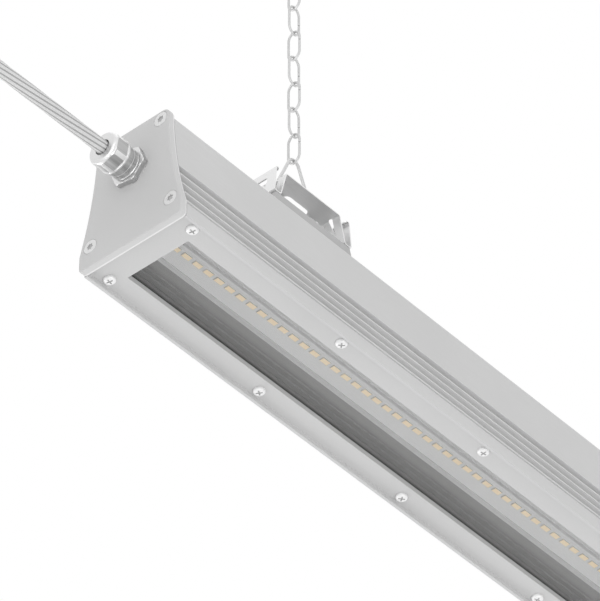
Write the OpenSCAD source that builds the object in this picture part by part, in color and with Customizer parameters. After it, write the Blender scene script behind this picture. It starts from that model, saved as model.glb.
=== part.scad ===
// Linear shop light that hangs from the ceiling on two chains.
// Row frame: origin on the ceiling above hanging point A, +X along the light, +Z up, millimetres.
// The light itself is drawn with X from its near end and Z from its lip, and place() moves it there.

/* [Housing] */
// Length of the housing extrusion
body_length = 1150; // [600:1:2000]
// Height from the lips to the flat top
body_height = 87; // [70:0.5:120]
// Half width where the hollow side would stand upright
waist_half_width = 27.32; // [20:0.01:40]
// Height where the hollow side would stand upright
waist_height = 92.5; // [80:0.5:130]
// Radius of the hollow side
side_radius = 300; // [200:1:500]
// Height of the upright foot under the hollow side
foot_height = 11.5; // [10:0.1:16]
// Radius of the extrusion's top corners
top_radius = 9.5; // [4:0.1:12]
// Thickness of the lips below the frame
lip_thick = 2.26; // [1:0.01:4]
// Height of the side's top groove edge
groove_top = 42.7; // [36:0.1:50]
// Height of the highest ridge between two grooves
ridge_top = 35.8; // [30:0.1:40]
// Distance from ridge to ridge
ridge_pitch = 8.1; // [6:0.1:10]
// Thickness of a ridge
ridge_thick = 1; // [0.5:0.1:2]
// Depth of the side grooves
groove_depth = 5; // [2:0.1:6]
// Height of the lowest narrow groove's lower edge
groove_foot = 9.2; // [8:0.1:10]
// Depth of the lowest narrow groove
groove_foot_depth = 2.5; // [1:0.1:3]
// Wall behind the grooves
groove_wall = 1.6; // [1:0.1:3]
// Wall of the upper chamber
side_wall = 2.2; // [1:0.1:4]
// Thickness of the roof
roof_thick = 2.5; // [1.5:0.1:5]
// Height of the web's underside
web_height = 40; // [36:0.1:44]
// Thickness of the web between the two chambers
web_thick = 2.5; // [1.5:0.1:4]
// Height where the upper chamber has its full width
chamber_full = 46.4; // [44:0.1:50]
// Radius of the screw ports that run through the extrusion
port_radius = 2.1; // [1.5:0.05:3]
// Radius of the boss around a port
boss_radius = 3.8; // [3:0.1:5]
// Sideways place of the upper ports
port_top_y = 21.2; // [15:0.1:24]
// Height of the upper ports
port_top_z = 81.1; // [76:0.1:83]
// Sideways place of the lower ports
port_low_y = 30.1; // [26:0.1:32]
// Height of the lower ports
port_low_z = 15.2; // [14:0.1:18]

/* [End caps] */
// Thickness of an end cap
cap_thick = 5; // [4:0.1:8]
// Radius of a cap's top corners
cap_top_radius = 4.5; // [2:0.1:9]
// Radius of a cap's bottom corners
cap_foot_radius = 2.5; // [1:0.1:5]
// Thickness of the gasket in the cap's pocket
cap_gasket = 1; // [0.5:0.1:2]
// Distance from the cap's edge to its gasket
gasket_inset = 1.8; // [1:0.1:4]
// Half width of the gasket's upper window
upper_window_half = 18; // [14:0.5:20]
// Bottom of the gasket's upper window
upper_window_low = 44; // [42:0.5:46]
// Top of the gasket's upper window
upper_window_top = 76; // [70:0.5:80]
// Half width of the gasket's lower window
lower_window_half = 22; // [16:0.5:24]
// Bottom of the gasket's lower window
lower_window_low = 14; // [12:0.5:20]
// Top of the gasket's lower window
lower_window_top = 36; // [30:0.5:38]
// Radius of a cap screw's countersunk head
cap_head_radius = 4.7; // [3:0.1:6]
// Depth of a cap screw's head
cap_head_depth = 2.4; // [1:0.1:4]
// Radius of a cap screw's shank
cap_shank_radius = 2.05; // [1.5:0.05:3]
// Radius of the clearance hole for a cap screw
cap_hole_radius = 2.6; // [2:0.05:3.5]
// Length of a cap screw
cap_screw_length = 18; // [10:0.5:30]
// Outer radius of the six-lobed recess
lobe_radius = 2.2; // [1:0.1:3]
// Inner radius of the six-lobed recess
lobe_valley = 1.6; // [0.8:0.1:2.5]
// Depth of the six-lobed recess
lobe_depth = 1.6; // [0.8:0.1:3]

/* [Front frame and glass] */
// Distance from the lips up to the frame's face
frame_recess = 3.2; // [1:0.1:6]
// Thickness of the frame plate
frame_thick = 3.4; // [2:0.1:6]
// Gap between the frame plate and what surrounds it
frame_gap = 0.25; // [0.1:0.05:1]
// Half width of the window
window_half = 22.6; // [16:0.1:26]
// Distance from the light's end to the window
window_margin = 23.2; // [18:0.1:40]
// Sideways place of the frame screws
frame_screw_y = 31; // [28:0.1:33]
// Distance from the light's end to the first frame screw
frame_screw_start = 17.5; // [12:0.5:40]
// Number of frame screws in a row
frame_screw_count = 10; // [4:1:16]
// Radius of a frame screw's head
frame_head_radius = 3.6; // [2:0.1:5]
// Height of a frame screw's head
frame_head_height = 2; // [1:0.1:3]
// Radius of a frame screw's shank
frame_shank_radius = 1.9; // [1:0.05:3]
// Length of a frame screw's shank
frame_shank_length = 8.4; // [5:0.1:9]
// Radius of the frame's clearance holes
frame_hole_radius = 2.2; // [1.5:0.05:3]
// Side clearance of the screw slot in the extrusion
slot_clear = 0.05; // [0.02:0.01:0.2]
// Width of the cross recess in a frame screw
cross_width = 1; // [0.5:0.1:2]
// Length of the cross recess in a frame screw
cross_length = 4; // [2:0.1:5]
// Depth of the cross recess in a frame screw
cross_depth = 1; // [0.5:0.1:1.8]
// Half width of the glass
glass_half = 27; // [24:0.1:28]
// Thickness of the glass
glass_thick = 3; // [2:0.1:4]
// Distance from the light's end to the glass
glass_margin = 12; // [8:0.5:18]
// Thickness of the glass gasket
glass_gasket_thick = 1; // [0.5:0.1:2]
// Half width of the flange that the gasket bears on
flange_half = 25; // [23:0.1:26]
// Thickness of that flange
flange_thick = 1.4; // [1:0.1:3]
// Width of the gasket across the glass ends
gasket_end = 4; // [2:0.5:8]
// Gap around the glass
glass_gap = 0.2; // [0.1:0.05:1]

/* [Light boards] */
// Inner edge of a board, from the middle
board_inner = 8.9; // [6:0.1:12]
// Outer edge of a board, from the middle
board_outer = 23.5; // [18:0.1:25]
// Thickness of a board
board_thick = 1.6; // [0.8:0.1:3]
// Distance from the light's end to a board
board_margin = 20; // [10:0.5:40]
// Inner edge of the inner board rail
rail_inner = 6.6; // [4:0.1:8]
// Outer edge of the inner board rail's lip
rail_lip = 9.4; // [8:0.1:12]
// Inner edge of the outer board rail's lip
outer_rail_lip = 23; // [18:0.1:24]
// Thickness of a board rail's lip
rail_lip_thick = 1.1; // [0.6:0.1:2]
// Clearance between a board and its rails
board_gap = 0.1; // [0.05:0.05:0.5]
// Sideways place of a row of light-emitting packages
led_row_y = 12.15; // [10:0.05:20]
// Length of a package
led_length = 5.7; // [2:0.1:8]
// Width of a package
led_width = 3; // [1:0.1:6]
// Height of a package
led_height = 0.8; // [0.4:0.1:2]
// Distance from package to package
led_pitch = 9.12; // [6:0.01:20]
// Distance from the light's end to the first package
led_start = 32.3; // [26:0.1:60]
// Number of packages in a row
led_count = 121; // [20:1:200]

/* [Driver and wiring] */
// Length of the driver
driver_length = 240; // [100:5:400]
// Width of the driver
driver_width = 40; // [20:1:46]
// Height of the driver
driver_height = 30; // [15:1:36]
// Distance from the light's end to the driver
driver_start = 440; // [200:5:800]
// Length of a driver's fixing foot
foot_length = 12; // [8:1:20]
// Thickness of a driver's fixing foot
foot_thick = 2; // [1:0.5:4]
// Width of a driver's fixing foot
foot_width = 20; // [10:1:30]
// Length of the terminal block
terminal_length = 36; // [20:1:60]
// Width of the terminal block
terminal_width = 30; // [16:1:40]
// Height of the terminal block
terminal_height = 18; // [10:1:24]
// Distance from the light's end to the terminal block
terminal_start = 58; // [40:1:100]
// Width of a wire entry in the terminal block
entry_width = 4; // [3:0.5:6]
// Depth of a wire entry in the terminal block
entry_depth = 6; // [3:0.5:10]
// Radius of a screw that holds the gear to the web
gear_shank_radius = 1.6; // [1:0.1:3]
// Radius of the hole for such a screw
gear_hole_radius = 1.7; // [1:0.1:3]
// Radius of its head
gear_head_radius = 3; // [2:0.1:5]
// Height of its head
gear_head_height = 2; // [1:0.1:3]
// Sideways place of the earth screw
earth_y = 20; // [16:0.5:22]
// Distance from the light's end to the earth screw
earth_start = 40; // [20:1:100]
// Radius of a wire
wire_radius = 1.1; // [0.5:0.1:2]
// Sideways distance between two wires
wire_pitch = 8; // [4:0.5:12]
// Sideways place of the wires to the boards
feed_y = 15; // [12:0.5:18]
// Distance from the driver to the web hole for a wire
feed_run = 40; // [20:1:100]
// Radius of the web hole for a wire
feed_hole_radius = 2; // [1.5:0.1:4]

/* [Cable gland] */
// Height of the gland and cable above the lips
gland_height = 55.5; // [48:0.5:70]
// Diameter of the power cable
cable_diameter = 8.5; // [5:0.1:12]
// Width across the flats of the gland's hexagon
gland_flats = 22.5; // [18:0.5:30]
// Thickness of the gland's hexagon
gland_hex_thick = 4; // [2:0.5:8]
// Turn of the gland's hexagon as it was tightened
gland_hex_turn = 10; // [0:1:59]
// Radius of the gland's collar
collar_radius = 9.8; // [8:0.1:14]
// Length of the gland's collar
collar_length = 8; // [4:0.5:14]
// Depth of the groove beside the hexagon
neck_depth = 0.6; // [0.2:0.1:1.5]
// Length of the groove beside the hexagon
neck_length = 0.6; // [0.2:0.1:2]
// Radius of the gland's thread
thread_radius = 8; // [6:0.1:10]
// Radial clearance of the threads
thread_clear = 0.05; // [0.02:0.01:0.1]
// Length of the thread inside the housing
spigot_length = 11; // [8:0.5:16]
// Radius of the hole through the gland
gland_bore_radius = 4.7; // [4.3:0.1:6]
// Radius of the seat for the rubber seal
seal_seat_radius = 6; // [5:0.1:7]
// Depth of that seat from the thread's outer end
seal_seat_depth = 12; // [6:0.5:16]
// Length of the thread under the dome nut
dome_thread_length = 6; // [4:0.5:10]
// Radial clearance of the seal on the cable
seal_clear = 0.03; // [0.01:0.01:0.1]
// Width across the flats of the lock nut
lock_flats = 20; // [17:0.5:24]
// Thickness of the lock nut
lock_thick = 4.5; // [2:0.5:6]
// Length of the dome nut
dome_length = 12; // [8:0.5:18]
// Radius of the dome nut
dome_radius = 10.9; // [9:0.1:14]
// Radius of the dome nut's outer face
dome_face_radius = 8; // [6:0.1:10]
// Length over which the dome nut narrows
dome_taper = 4; // [2:0.5:8]
// Width across the dome nut's flats
dome_flats = 20.6; // [18:0.1:24]
// Length of the round ring beside the collar
dome_ring = 1.4; // [0.5:0.1:3]
// Radius of the nut at the end of the cable
tail_nut_radius = 9.5; // [8:0.1:12]
// Length of the nut at the end of the cable
tail_nut_length = 18; // [10:0.5:30]
// Radius of the connector's body
tail_radius = 10.5; // [8:0.1:14]
// Length of the connector's body
tail_length = 37; // [20:0.5:60]
// Radius of the connector's socket
tail_bore_radius = 7; // [5:0.1:9]
// Depth of the connector's socket
tail_bore_depth = 13; // [8:0.5:20]
// Radius of a contact pin
pin_radius = 1; // [0.5:0.1:2]
// Length of a contact pin
pin_length = 10; // [5:0.5:15]
// Distance of the pins from the middle
pin_circle_radius = 3.6; // [2:0.1:5]

/* [Suspension] */
// Distance from the light's end to a hanging point
hang_x = 137; // [60:1:300]
// Width of the clip and of the block under it
clip_width = 30; // [20:0.5:40]
// Thickness of the clip's sheet
clip_sheet = 0.8; // [0.5:0.1:1.5]
// Height of the block's top above the lips
block_top = 104.5; // [96:0.5:112]
// Height where the block's ends change their slope
block_knee = 98; // [90:0.5:102]
// Half length of the block at its top
block_half_top = 32.4; // [24:0.1:40]
// Half length of the block at the knee
block_half_knee = 34.3; // [26:0.1:42]
// Half length of the block at the housing
block_half_base = 34.9; // [26:0.1:44]
// Half length of the clip at its foot bends
clip_foot_half = 33.6; // [26:0.1:40]
// Half length of the clip at the tops of its outer legs
clip_leg_half = 31.8; // [26:0.1:40]
// Height of the tops of the outer legs
clip_leg_top = 124.7; // [116:0.1:132]
// Half length of the clip at the tips of its outer legs
clip_tip_half = 29.2; // [24:0.1:36]
// Height of those tips
clip_tip_height = 123.4; // [116:0.1:130]
// Half distance between the feet of the inner legs
clip_inner_half = 28.2; // [20:0.1:32]
// Half length of the clip's top
clip_top_half = 23.4; // [16:0.1:28]
// Height of the middle of the clip's top sheet
clip_top_height = 124.1; // [116:0.1:132]
// Half length of the slot in the middle of the clip's top
top_slot_half = 10; // [6:0.5:13]
// Half width of that slot
top_slot_half_width = 3.7; // [2:0.1:6]
// Middle of the slots for the hook's feet
foot_slot_x = 17.4; // [14:0.1:20]
// Half length of the slots for the hook's feet
foot_slot_half = 3.1; // [2:0.1:4]
// Half width of the slots for the hook's feet
foot_slot_half_width = 1.5; // [1.2:0.1:3]
// Half width of the finger slots in the outer legs
finger_slot_half = 8.5; // [5:0.5:12]
// Bottom of the finger slots
finger_slot_low = 113.6; // [108:0.1:116]
// Top of the finger slots
finger_slot_top = 118; // [114:0.1:122]
// Radius of the relief holes at the top's bends
relief_radius = 1.5; // [0.5:0.1:3]
// Sideways place of the relief holes
relief_y = 8.3; // [6:0.1:11]
// Height where a relief slit ends
slit_low = 113; // [108:0.1:120]
// Sideways place of a slit's end
slit_end_y = 9.4; // [7:0.1:12]
// Sideways place of a slit's wide end
slit_start_y = 6.8; // [5:0.1:10]
// Radius of the small hole in an outer leg
pip_radius = 0.6; // [0.3:0.1:1.5]
// Sideways place of that hole
pip_y = 7; // [4:0.1:12]
// Height of that hole
pip_height = 112.2; // [108:0.1:116]
// Middle distance of the screws that hold the clip
clip_screw_x = 30.5; // [28:0.1:31]
// Radius of the head of such a screw
clip_head_radius = 2.1; // [1.5:0.1:2.5]
// Height of its head
clip_head_height = 1.6; // [0.8:0.1:2]
// Radius of its shank
clip_shank_radius = 1.2; // [0.8:0.1:1.5]
// Length of its shank
clip_shank_length = 9; // [5:0.5:14]
// Middle distance of the screws that hold the block
block_screw_x = 20; // [10:0.5:28]
// Radius of the shank of such a screw
block_shank_radius = 1.9; // [1:0.1:3]
// Length of that screw's shank
block_shank_length = 12; // [8:0.5:16]
// Radius of its head
block_head_radius = 3.5; // [2:0.1:5]
// Height of its head
block_head_height = 2.2; // [1:0.1:3]
// Clearance around a screw in its hole
screw_clear = 0.05; // [0.02:0.01:0.2]
// Wire radius of the hook
hook_wire = 1; // [0.6:0.1:2]
// Height of the middle of the hook's wire at its top
hook_top = 160.7; // [150:0.1:180]
// Radius of the bend at the hook's top
hook_top_bend = 4.4; // [3:0.1:8]
// Radius of the bends at the hook's feet
hook_foot_bend = 1.6; // [1:0.1:4]
// Half spread of the hook where it enters the clip
hook_spread = 18.4; // [12:0.1:22]
// Distance from the middle to the ends of the hook's feet
hook_foot_end = 10.5; // [6:0.5:14]
// Gap between two pieces that hang on each other
hang_gap = 0.2; // [0.05:0.05:0.5]

/* [Chain and ceiling] */
// Number of links in a chain
link_count = 8; // [4:2:8]
// Wire radius of a link
link_wire = 0.8; // [0.5:0.05:2]
// Inside length of a link
link_inside = 21.6; // [10:0.1:40]
// Distance between the two sides of a link, wire middle to wire middle
link_sides = 8.7; // [6:0.1:16]
// Radius of a link's tip
link_tip_radius = 2.6; // [2:0.1:8]
// Radius of a link's shoulders
link_shoulder_radius = 6; // [4.5:0.1:12]
// Wire radius of the ceiling hook
eye_wire = 1.7; // [1:0.05:1.75]
// Radius of the ceiling hook's bend
eye_radius = 6.5; // [5:0.1:12]
// Turn of the ceiling hook from its stem to its tip
eye_turn = 290; // [240:5:300]
// Length of the ceiling hook's stem below the plate
stem_length = 11; // [8:0.5:30]
// Radius of the ceiling hook's stem
stem_radius = 2; // [1.5:0.1:4]
// Radius of the collar on the stem
stem_collar_radius = 4.5; // [3:0.1:8]
// Thickness of that collar
stem_collar_thick = 2; // [1:0.1:5]
// Length of the ceiling plate
plate_length = 60; // [40:1:120]
// Width of the ceiling plate
plate_width = 24; // [16:1:60]
// Thickness of the ceiling plate
plate_thick = 2.5; // [1.5:0.1:5]
// Distance between the ceiling plate's screw holes
plate_hole_pitch = 44; // [20:1:100]
// Radius of the ceiling plate's screw holes
plate_hole_radius = 2.3; // [1.5:0.1:4]
// Corner radius of the ceiling plate
plate_corner = 6; // [2:0.5:10]

/* [Hidden] */
overrun = 1;
nest = 0.03;
nest_turn = 2.5;
flat_share = 0.98;
side_steps = 14;
corner_steps = 6;
wire_facets = 14;
bend_facets = 24;
round_facets = 32;
large_facets = 48;
cable_sides = 12;
mirror_pair = [0, 1];
side_pair = [-1, 1];
no_gap = 0;

total_length = body_length + 2 * cap_thick;
far_hang = total_length - 2 * hang_x;
frame_seat = frame_recess + frame_thick;
flange_low = frame_seat + glass_thick + glass_gasket_thick;
flange_top = flange_low + flange_thick;
web_top = web_height + web_thick;
roof_low = body_height - roof_thick;
frame_screw_pitch = (total_length - 2 * frame_screw_start) / (frame_screw_count - 1);
slot_half = frame_shank_radius + slot_clear;
slot_top = frame_seat + frame_shank_length - frame_thick + slot_clear * 2;
board_low = web_height - board_thick;
led_low = board_low - led_height;
foot_line = clip_top_height - clip_sheet / 2 - hang_gap - hook_wire;
link_span = link_inside + 2 * link_wire;
link_pitch = link_inside - hang_gap;
link_low = hook_top - hook_wire - link_wire - hang_gap;
link_high = link_low + (link_count - 1) * link_pitch + link_span;
eye_low = link_high - link_wire - eye_wire - hang_gap;
eye_middle = eye_low + eye_radius;
eye_high = eye_middle + eye_radius;
drop = eye_high + stem_length + plate_thick;
inner_rail_root = board_inner - board_gap;
outer_rail_root = board_outer + board_gap;
cable_radius = cable_diameter / 2;
sealed_radius = cable_radius + seal_clear;
terminal_middle = terminal_start + terminal_length / 2;
driver_end = driver_start + driver_length;

// Middle line of the cable in the row frame: from inside the gland, out, down to the connector
cable_route = [
  [-132, 0, -300], [-150, 0, -300], [-175, 0, -300], [-200, 0, -300], [-225, 0, -300],
  [-252, 0, -300], [-264, 0, -302], [-275, 0, -306], [-284, 0, -313], [-291, 0, -322],
  [-295.5, 0, -333], [-297, 0, -345], [-297, 0, -365], [-297, 0, -385], [-297, 0, -405],
  [-297, 0, -425], [-297, 0, -445], [-297, 0, -465], [-297, 0, -485], [-297, 0, -505],
  [-297, 0, -530], [-297, 0, -554]
];
cable_end = cable_route[len(cable_route) - 1];

function link_nodes(letter) = [for (i = [1:link_count]) str("chain_", letter, "_link_", i)];

// Half width of the housing at a height
function half_width(z) =
  waist_half_width + side_radius
  - sqrt(pow(side_radius, 2) - pow(waist_height - max(z, foot_height), 2));
// Inner face of the wall behind the grooves
function inner_wall(z) = half_width(z) - groove_depth - groove_wall;
// Points of a quarter or other arc around a middle
function arc_points(middle, radius, from, to, steps) =
  [for (i = [0:steps]) middle + radius * [cos(from + (to - from) * i / steps),
    sin(from + (to - from) * i / steps)]];
// A closed outline from its right half, listed upwards
function both_sides(right) =
  concat(right, [for (i = [len(right) - 1:-1:0]) [-right[i][0], right[i][1]]]);
// Right half of the housing's outline, with its corner radii and an inset
function outline_half(top_r, foot_r, inset) =
  let (high = body_height - inset - top_r)
  let (low = foot_height)
  concat(
    foot_r > 0
      ? arc_points([half_width(0) - inset - foot_r, inset + foot_r], foot_r, -90, 0, corner_steps)
      : [[half_width(0) - inset, inset]],
    [for (i = [0:side_steps - 1]) let (z = low + (high - low) * i / side_steps) [half_width(z) - inset, z]],
    arc_points([half_width(high) - inset - top_r, high], top_r, 0, 90, corner_steps)
  );
function unit(v) = v / norm(v);
function turned(v) = [-v[1], v[0]];
// Offset direction at a corner of a line, mitred
function mitre(points, i) =
  let (n = len(points))
  let (before = turned(unit(points[max(i, 1)] - points[max(i, 1) - 1])))
  let (after = turned(unit(points[min(i + 1, n - 1)] - points[min(i + 1, n - 1) - 1])))
  (before + after) / (1 + before * after);
// Outline of a sheet of even thickness along a line
function ribbon(points, thick) =
  concat(
    [for (i = [0:len(points) - 1]) points[i] + mitre(points, i) * thick / 2],
    [for (i = [len(points) - 1:-1:0]) points[i] - mitre(points, i) * thick / 2]
  );
function mirrored_line(right) =
  concat([for (i = [len(right) - 1:-1:0]) [-right[i][0], right[i][1]]], right);

module place() {
  translate([-hang_x, 0, -drop]) children();
}

// Draws a piece of one end and moves it to the other end when asked
module at_end(far) {
  if (far) {
    translate([total_length, 0, 0]) mirror([1, 0, 0]) children();
  } else {
    children();
  }
}

// Draws a piece of one hanging point in the row frame, its X from the hanging point
module at_hang(far) {
  translate([far ? far_hang : 0, 0, -drop]) children();
}

// Extrudes a sideways and upward outline along the light
module along(start, length) {
  translate([start, 0, 0]) rotate([90, 0, 90]) linear_extrude(length) children();
}

// A round bar along the light
module bar_x(start, length, y, z, radius, facets) {
  translate([start, y, z]) rotate([0, 90, 0]) cylinder(r = radius, h = length, $fn = facets);
}

module hex_x(start, length, flats, turn) {
  translate([start, 0, gland_height]) rotate([0, 90, 0]) rotate([0, 0, turn])
    cylinder(r = flats / sqrt(3), h = length, $fn = 6);
}

module port_places() {
  for (s = side_pair) {
    translate([s * port_top_y, port_top_z]) children();
    translate([s * port_low_y, port_low_z]) children();
  }
}

module grooves_outline() {
  for (m = mirror_pair) {
    mirror([m, 0]) {
      for (i = [0:3]) {
        low = ridge_top - i * ridge_pitch + ridge_thick / 2;
        high = i == 0 ? groove_top : low + ridge_pitch - ridge_thick;
        polygon([
          [half_width(low) - groove_depth, low], [half_width(low) + overrun, low],
          [half_width(high) + overrun, high], [half_width(high) - groove_depth, high]
        ]);
      }
      last = ridge_top - 3 * ridge_pitch - ridge_thick / 2;
      translate([half_width(0) - groove_foot_depth, groove_foot])
        square([groove_foot_depth + overrun, last - groove_foot]);
    }
  }
}

module chambers_outline() {
  boss_low = [port_low_y, port_low_z];
  boss_top = [port_top_y, port_top_z];
  step = (web_height - port_low_z - boss_radius) / 3;
  rise = (port_top_z - 2 * boss_radius - chamber_full) / 3;
  chamber_low = groove_top + side_wall;
  translate([-(half_width(0) - lip_thick), -overrun])
    square([2 * (half_width(0) - lip_thick), frame_seat + overrun]);
  translate([-(glass_half + glass_gap), 0]) square([2 * (glass_half + glass_gap), flange_low]);
  translate([-flange_half, 0]) square([2 * flange_half, flange_top + overrun]);
  polygon(both_sides(concat(
    [[port_low_y - boss_radius, flange_top]],
    arc_points(boss_low, boss_radius, 180, 100, 3),
    [for (i = [1:3]) let (z = port_low_z + boss_radius + step * i) [inner_wall(z), z]]
  )));
  polygon(both_sides(concat(
    [[inner_wall(web_top), web_top], [inner_wall(chamber_low), chamber_low]],
    [for (i = [0:3]) let (z = chamber_full + rise * i) [half_width(z) - side_wall, z]],
    arc_points(boss_top, boss_radius, -70, -180, 4),
    [[port_top_y - boss_radius, roof_low]]
  )));
  port_places() circle(r = port_radius, $fn = round_facets);
  for (s = side_pair) {
    translate([s * frame_screw_y - slot_half, 0]) square([2 * slot_half, slot_top]);
  }
}

module board_rails() {
  lip_low = board_low - board_gap - rail_lip_thick;
  for (m = mirror_pair) {
    mirror([m, 0]) {
      translate([rail_inner, lip_low]) square([inner_rail_root - rail_inner, web_height - lip_low]);
      translate([rail_inner, lip_low]) square([rail_lip - rail_inner, rail_lip_thick]);
      translate([outer_rail_root, lip_low])
        square([inner_wall(lip_low) + groove_wall / 2 - outer_rail_root, web_height - lip_low]);
      translate([outer_rail_lip, lip_low])
        square([inner_wall(lip_low) + groove_wall / 2 - outer_rail_lip, rail_lip_thick]);
    }
  }
}

module housing_extrusion() {
  color("lightgray") place() difference() {
    along(cap_thick, body_length) {
      difference() {
        polygon(both_sides(outline_half(top_radius, no_gap, no_gap)));
        grooves_outline();
        chambers_outline();
      }
      board_rails();
    }
    for (x = [hang_x, total_length - hang_x], s = side_pair) {
      translate([x + s * block_screw_x, 0, roof_low - overrun])
        cylinder(r = block_shank_radius + screw_clear, h = roof_thick + 2 * overrun, $fn = round_facets);
    }
    for (x = [driver_start - foot_length / 2, driver_end + foot_length / 2, terminal_middle]) {
      translate([x, 0, web_height - overrun])
        cylinder(r = gear_hole_radius, h = web_thick + 2 * overrun, $fn = round_facets);
    }
    translate([earth_start, earth_y, web_height - overrun])
      cylinder(r = gear_hole_radius, h = web_thick + 2 * overrun, $fn = round_facets);
    for (s = side_pair) {
      translate([driver_end + feed_run, s * feed_y, web_height - overrun])
        cylinder(r = feed_hole_radius, h = web_thick + 2 * overrun, $fn = round_facets);
    }
  }
}

module gasket_outline() {
  difference() {
    polygon(both_sides(outline_half(cap_top_radius, cap_foot_radius, gasket_inset)));
    translate([-upper_window_half, upper_window_low])
      square([2 * upper_window_half, upper_window_top - upper_window_low]);
    translate([-lower_window_half, lower_window_low])
      square([2 * lower_window_half, lower_window_top - lower_window_low]);
  }
}

module end_cap(far) {
  color("lightgray") place() at_end(far) difference() {
    along(0, cap_thick) polygon(both_sides(outline_half(cap_top_radius, cap_foot_radius, no_gap)));
    along(cap_thick - cap_gasket, cap_gasket + overrun) gasket_outline();
    along(-overrun, cap_thick + 2 * overrun) port_places() circle(r = cap_hole_radius, $fn = round_facets);
    for (s = side_pair, p = [[port_top_y, port_top_z], [port_low_y, port_low_z]]) {
      translate([0, s * p[0], p[1]]) rotate([0, 90, 0])
        cylinder(r1 = cap_head_radius + screw_clear, r2 = cap_hole_radius - screw_clear,
          h = cap_head_depth, $fn = round_facets);
    }
    if (!far) {
      bar_x(-overrun, cap_thick + 2 * overrun, 0, gland_height, thread_radius + thread_clear, large_facets);
    }
  }
}

module end_gasket(far) {
  color("dimgray") place() at_end(far) along(cap_thick - cap_gasket, cap_gasket) difference() {
    gasket_outline();
    port_places() circle(r = cap_hole_radius, $fn = round_facets);
  }
}

module cap_screws(far) {
  color("silver") place() at_end(far)
    for (s = side_pair, p = [[port_top_y, port_top_z], [port_low_y, port_low_z]]) {
      translate([0, s * p[0], p[1]]) rotate([0, 90, 0]) difference() {
        union() {
          cylinder(r1 = cap_head_radius, r2 = cap_shank_radius, h = cap_head_depth, $fn = round_facets);
          cylinder(r = cap_shank_radius, h = cap_screw_length, $fn = round_facets);
        }
        translate([0, 0, -overrun]) linear_extrude(lobe_depth + overrun)
          polygon([for (i = [0:11]) (i % 2 == 0 ? lobe_radius : lobe_valley) * [cos(30 * i), sin(30 * i)]]);
      }
    }
}

module front_frame() {
  half = half_width(0) - lip_thick - frame_gap;
  color("gainsboro") place() difference() {
    translate([cap_thick + frame_gap, -half, frame_recess])
      cube([total_length - 2 * (cap_thick + frame_gap), 2 * half, frame_thick]);
    translate([window_margin, -window_half, frame_recess - overrun])
      cube([total_length - 2 * window_margin, 2 * window_half, frame_thick + 2 * overrun]);
    for (i = [0:frame_screw_count - 1], s = side_pair) {
      translate([frame_screw_start + i * frame_screw_pitch, s * frame_screw_y, frame_recess - overrun])
        cylinder(r = frame_hole_radius, h = frame_thick + 2 * overrun, $fn = round_facets);
    }
  }
}

module frame_screws(side) {
  color("white") place() for (i = [0:frame_screw_count - 1]) {
    translate([frame_screw_start + i * frame_screw_pitch, side * frame_screw_y, frame_recess]) {
      difference() {
        translate([0, 0, -frame_head_height]) rotate_extrude($fn = round_facets) polygon([
          [0, 0], [frame_head_radius - frame_head_height / 3, 0],
          [frame_head_radius, frame_head_height / 2], [frame_head_radius, frame_head_height],
          [0, frame_head_height]
        ]);
        for (a = [0, 90]) {
          rotate([0, 0, a]) translate([-cross_length / 2, -cross_width / 2, -frame_head_height - overrun])
            cube([cross_length, cross_width, cross_depth + overrun]);
        }
      }
      cylinder(r = frame_shank_radius, h = frame_shank_length, $fn = round_facets);
    }
  }
}

module front_glass() {
  color("lightcyan") place() translate([glass_margin, -glass_half, frame_seat])
    cube([total_length - 2 * glass_margin, 2 * glass_half, glass_thick]);
}

module glass_gasket() {
  color("dimgray") place() difference() {
    translate([glass_margin, -glass_half, frame_seat + glass_thick])
      cube([total_length - 2 * glass_margin, 2 * glass_half, glass_gasket_thick]);
    translate([glass_margin + gasket_end, -flange_half, frame_seat + glass_thick - overrun])
      cube([total_length - 2 * (glass_margin + gasket_end), 2 * flange_half,
        glass_gasket_thick + 2 * overrun]);
  }
}

module led_board(side) {
  color("whitesmoke") place() translate([board_margin, side > 0 ? board_inner : -board_outer, board_low])
    cube([total_length - 2 * board_margin, board_outer - board_inner, board_thick]);
}

module led_packages(side) {
  color("wheat") place() for (i = [0:led_count - 1]) {
    translate([led_start + i * led_pitch - led_length / 2, side * led_row_y - led_width / 2, led_low])
      cube([led_length, led_width, led_height]);
  }
}

module led_driver() {
  color("white") place() difference() {
    union() {
      translate([driver_start, -driver_width / 2, web_top])
        cube([driver_length, driver_width, driver_height]);
      translate([driver_start - foot_length, -foot_width / 2, web_top])
        cube([driver_length + 2 * foot_length, foot_width, foot_thick]);
    }
    for (x = [driver_start - foot_length / 2, driver_end + foot_length / 2]) {
      translate([x, 0, web_top - overrun])
        cylinder(r = gear_hole_radius, h = foot_thick + 2 * overrun, $fn = round_facets);
    }
  }
}

module terminal_block() {
  color("ivory") place() difference() {
    translate([terminal_start, -terminal_width / 2, web_top])
      cube([terminal_length, terminal_width, terminal_height]);
    translate([terminal_middle, 0, web_top - overrun])
      cylinder(r = gear_hole_radius, h = terminal_height + 2 * overrun, $fn = round_facets);
    translate([terminal_middle, 0, web_top + foot_thick])
      cylinder(r = gear_head_radius + screw_clear, h = terminal_height, $fn = round_facets);
    for (s = [-1, 0, 1], x = [terminal_start - overrun, terminal_start + terminal_length - entry_depth]) {
      translate([x, s * wire_pitch - entry_width / 2, gland_height - entry_width / 2])
        cube([entry_depth + overrun, entry_width, entry_width]);
    }
  }
}

// A screw that clamps a thickness to the web and ends at the web's underside
module gear_screw(clamped) {
  translate([0, 0, -clamped - web_thick])
    cylinder(r = gear_shank_radius, h = clamped + web_thick, $fn = round_facets);
  cylinder(r = gear_head_radius, h = gear_head_height, $fn = round_facets);
}

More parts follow.
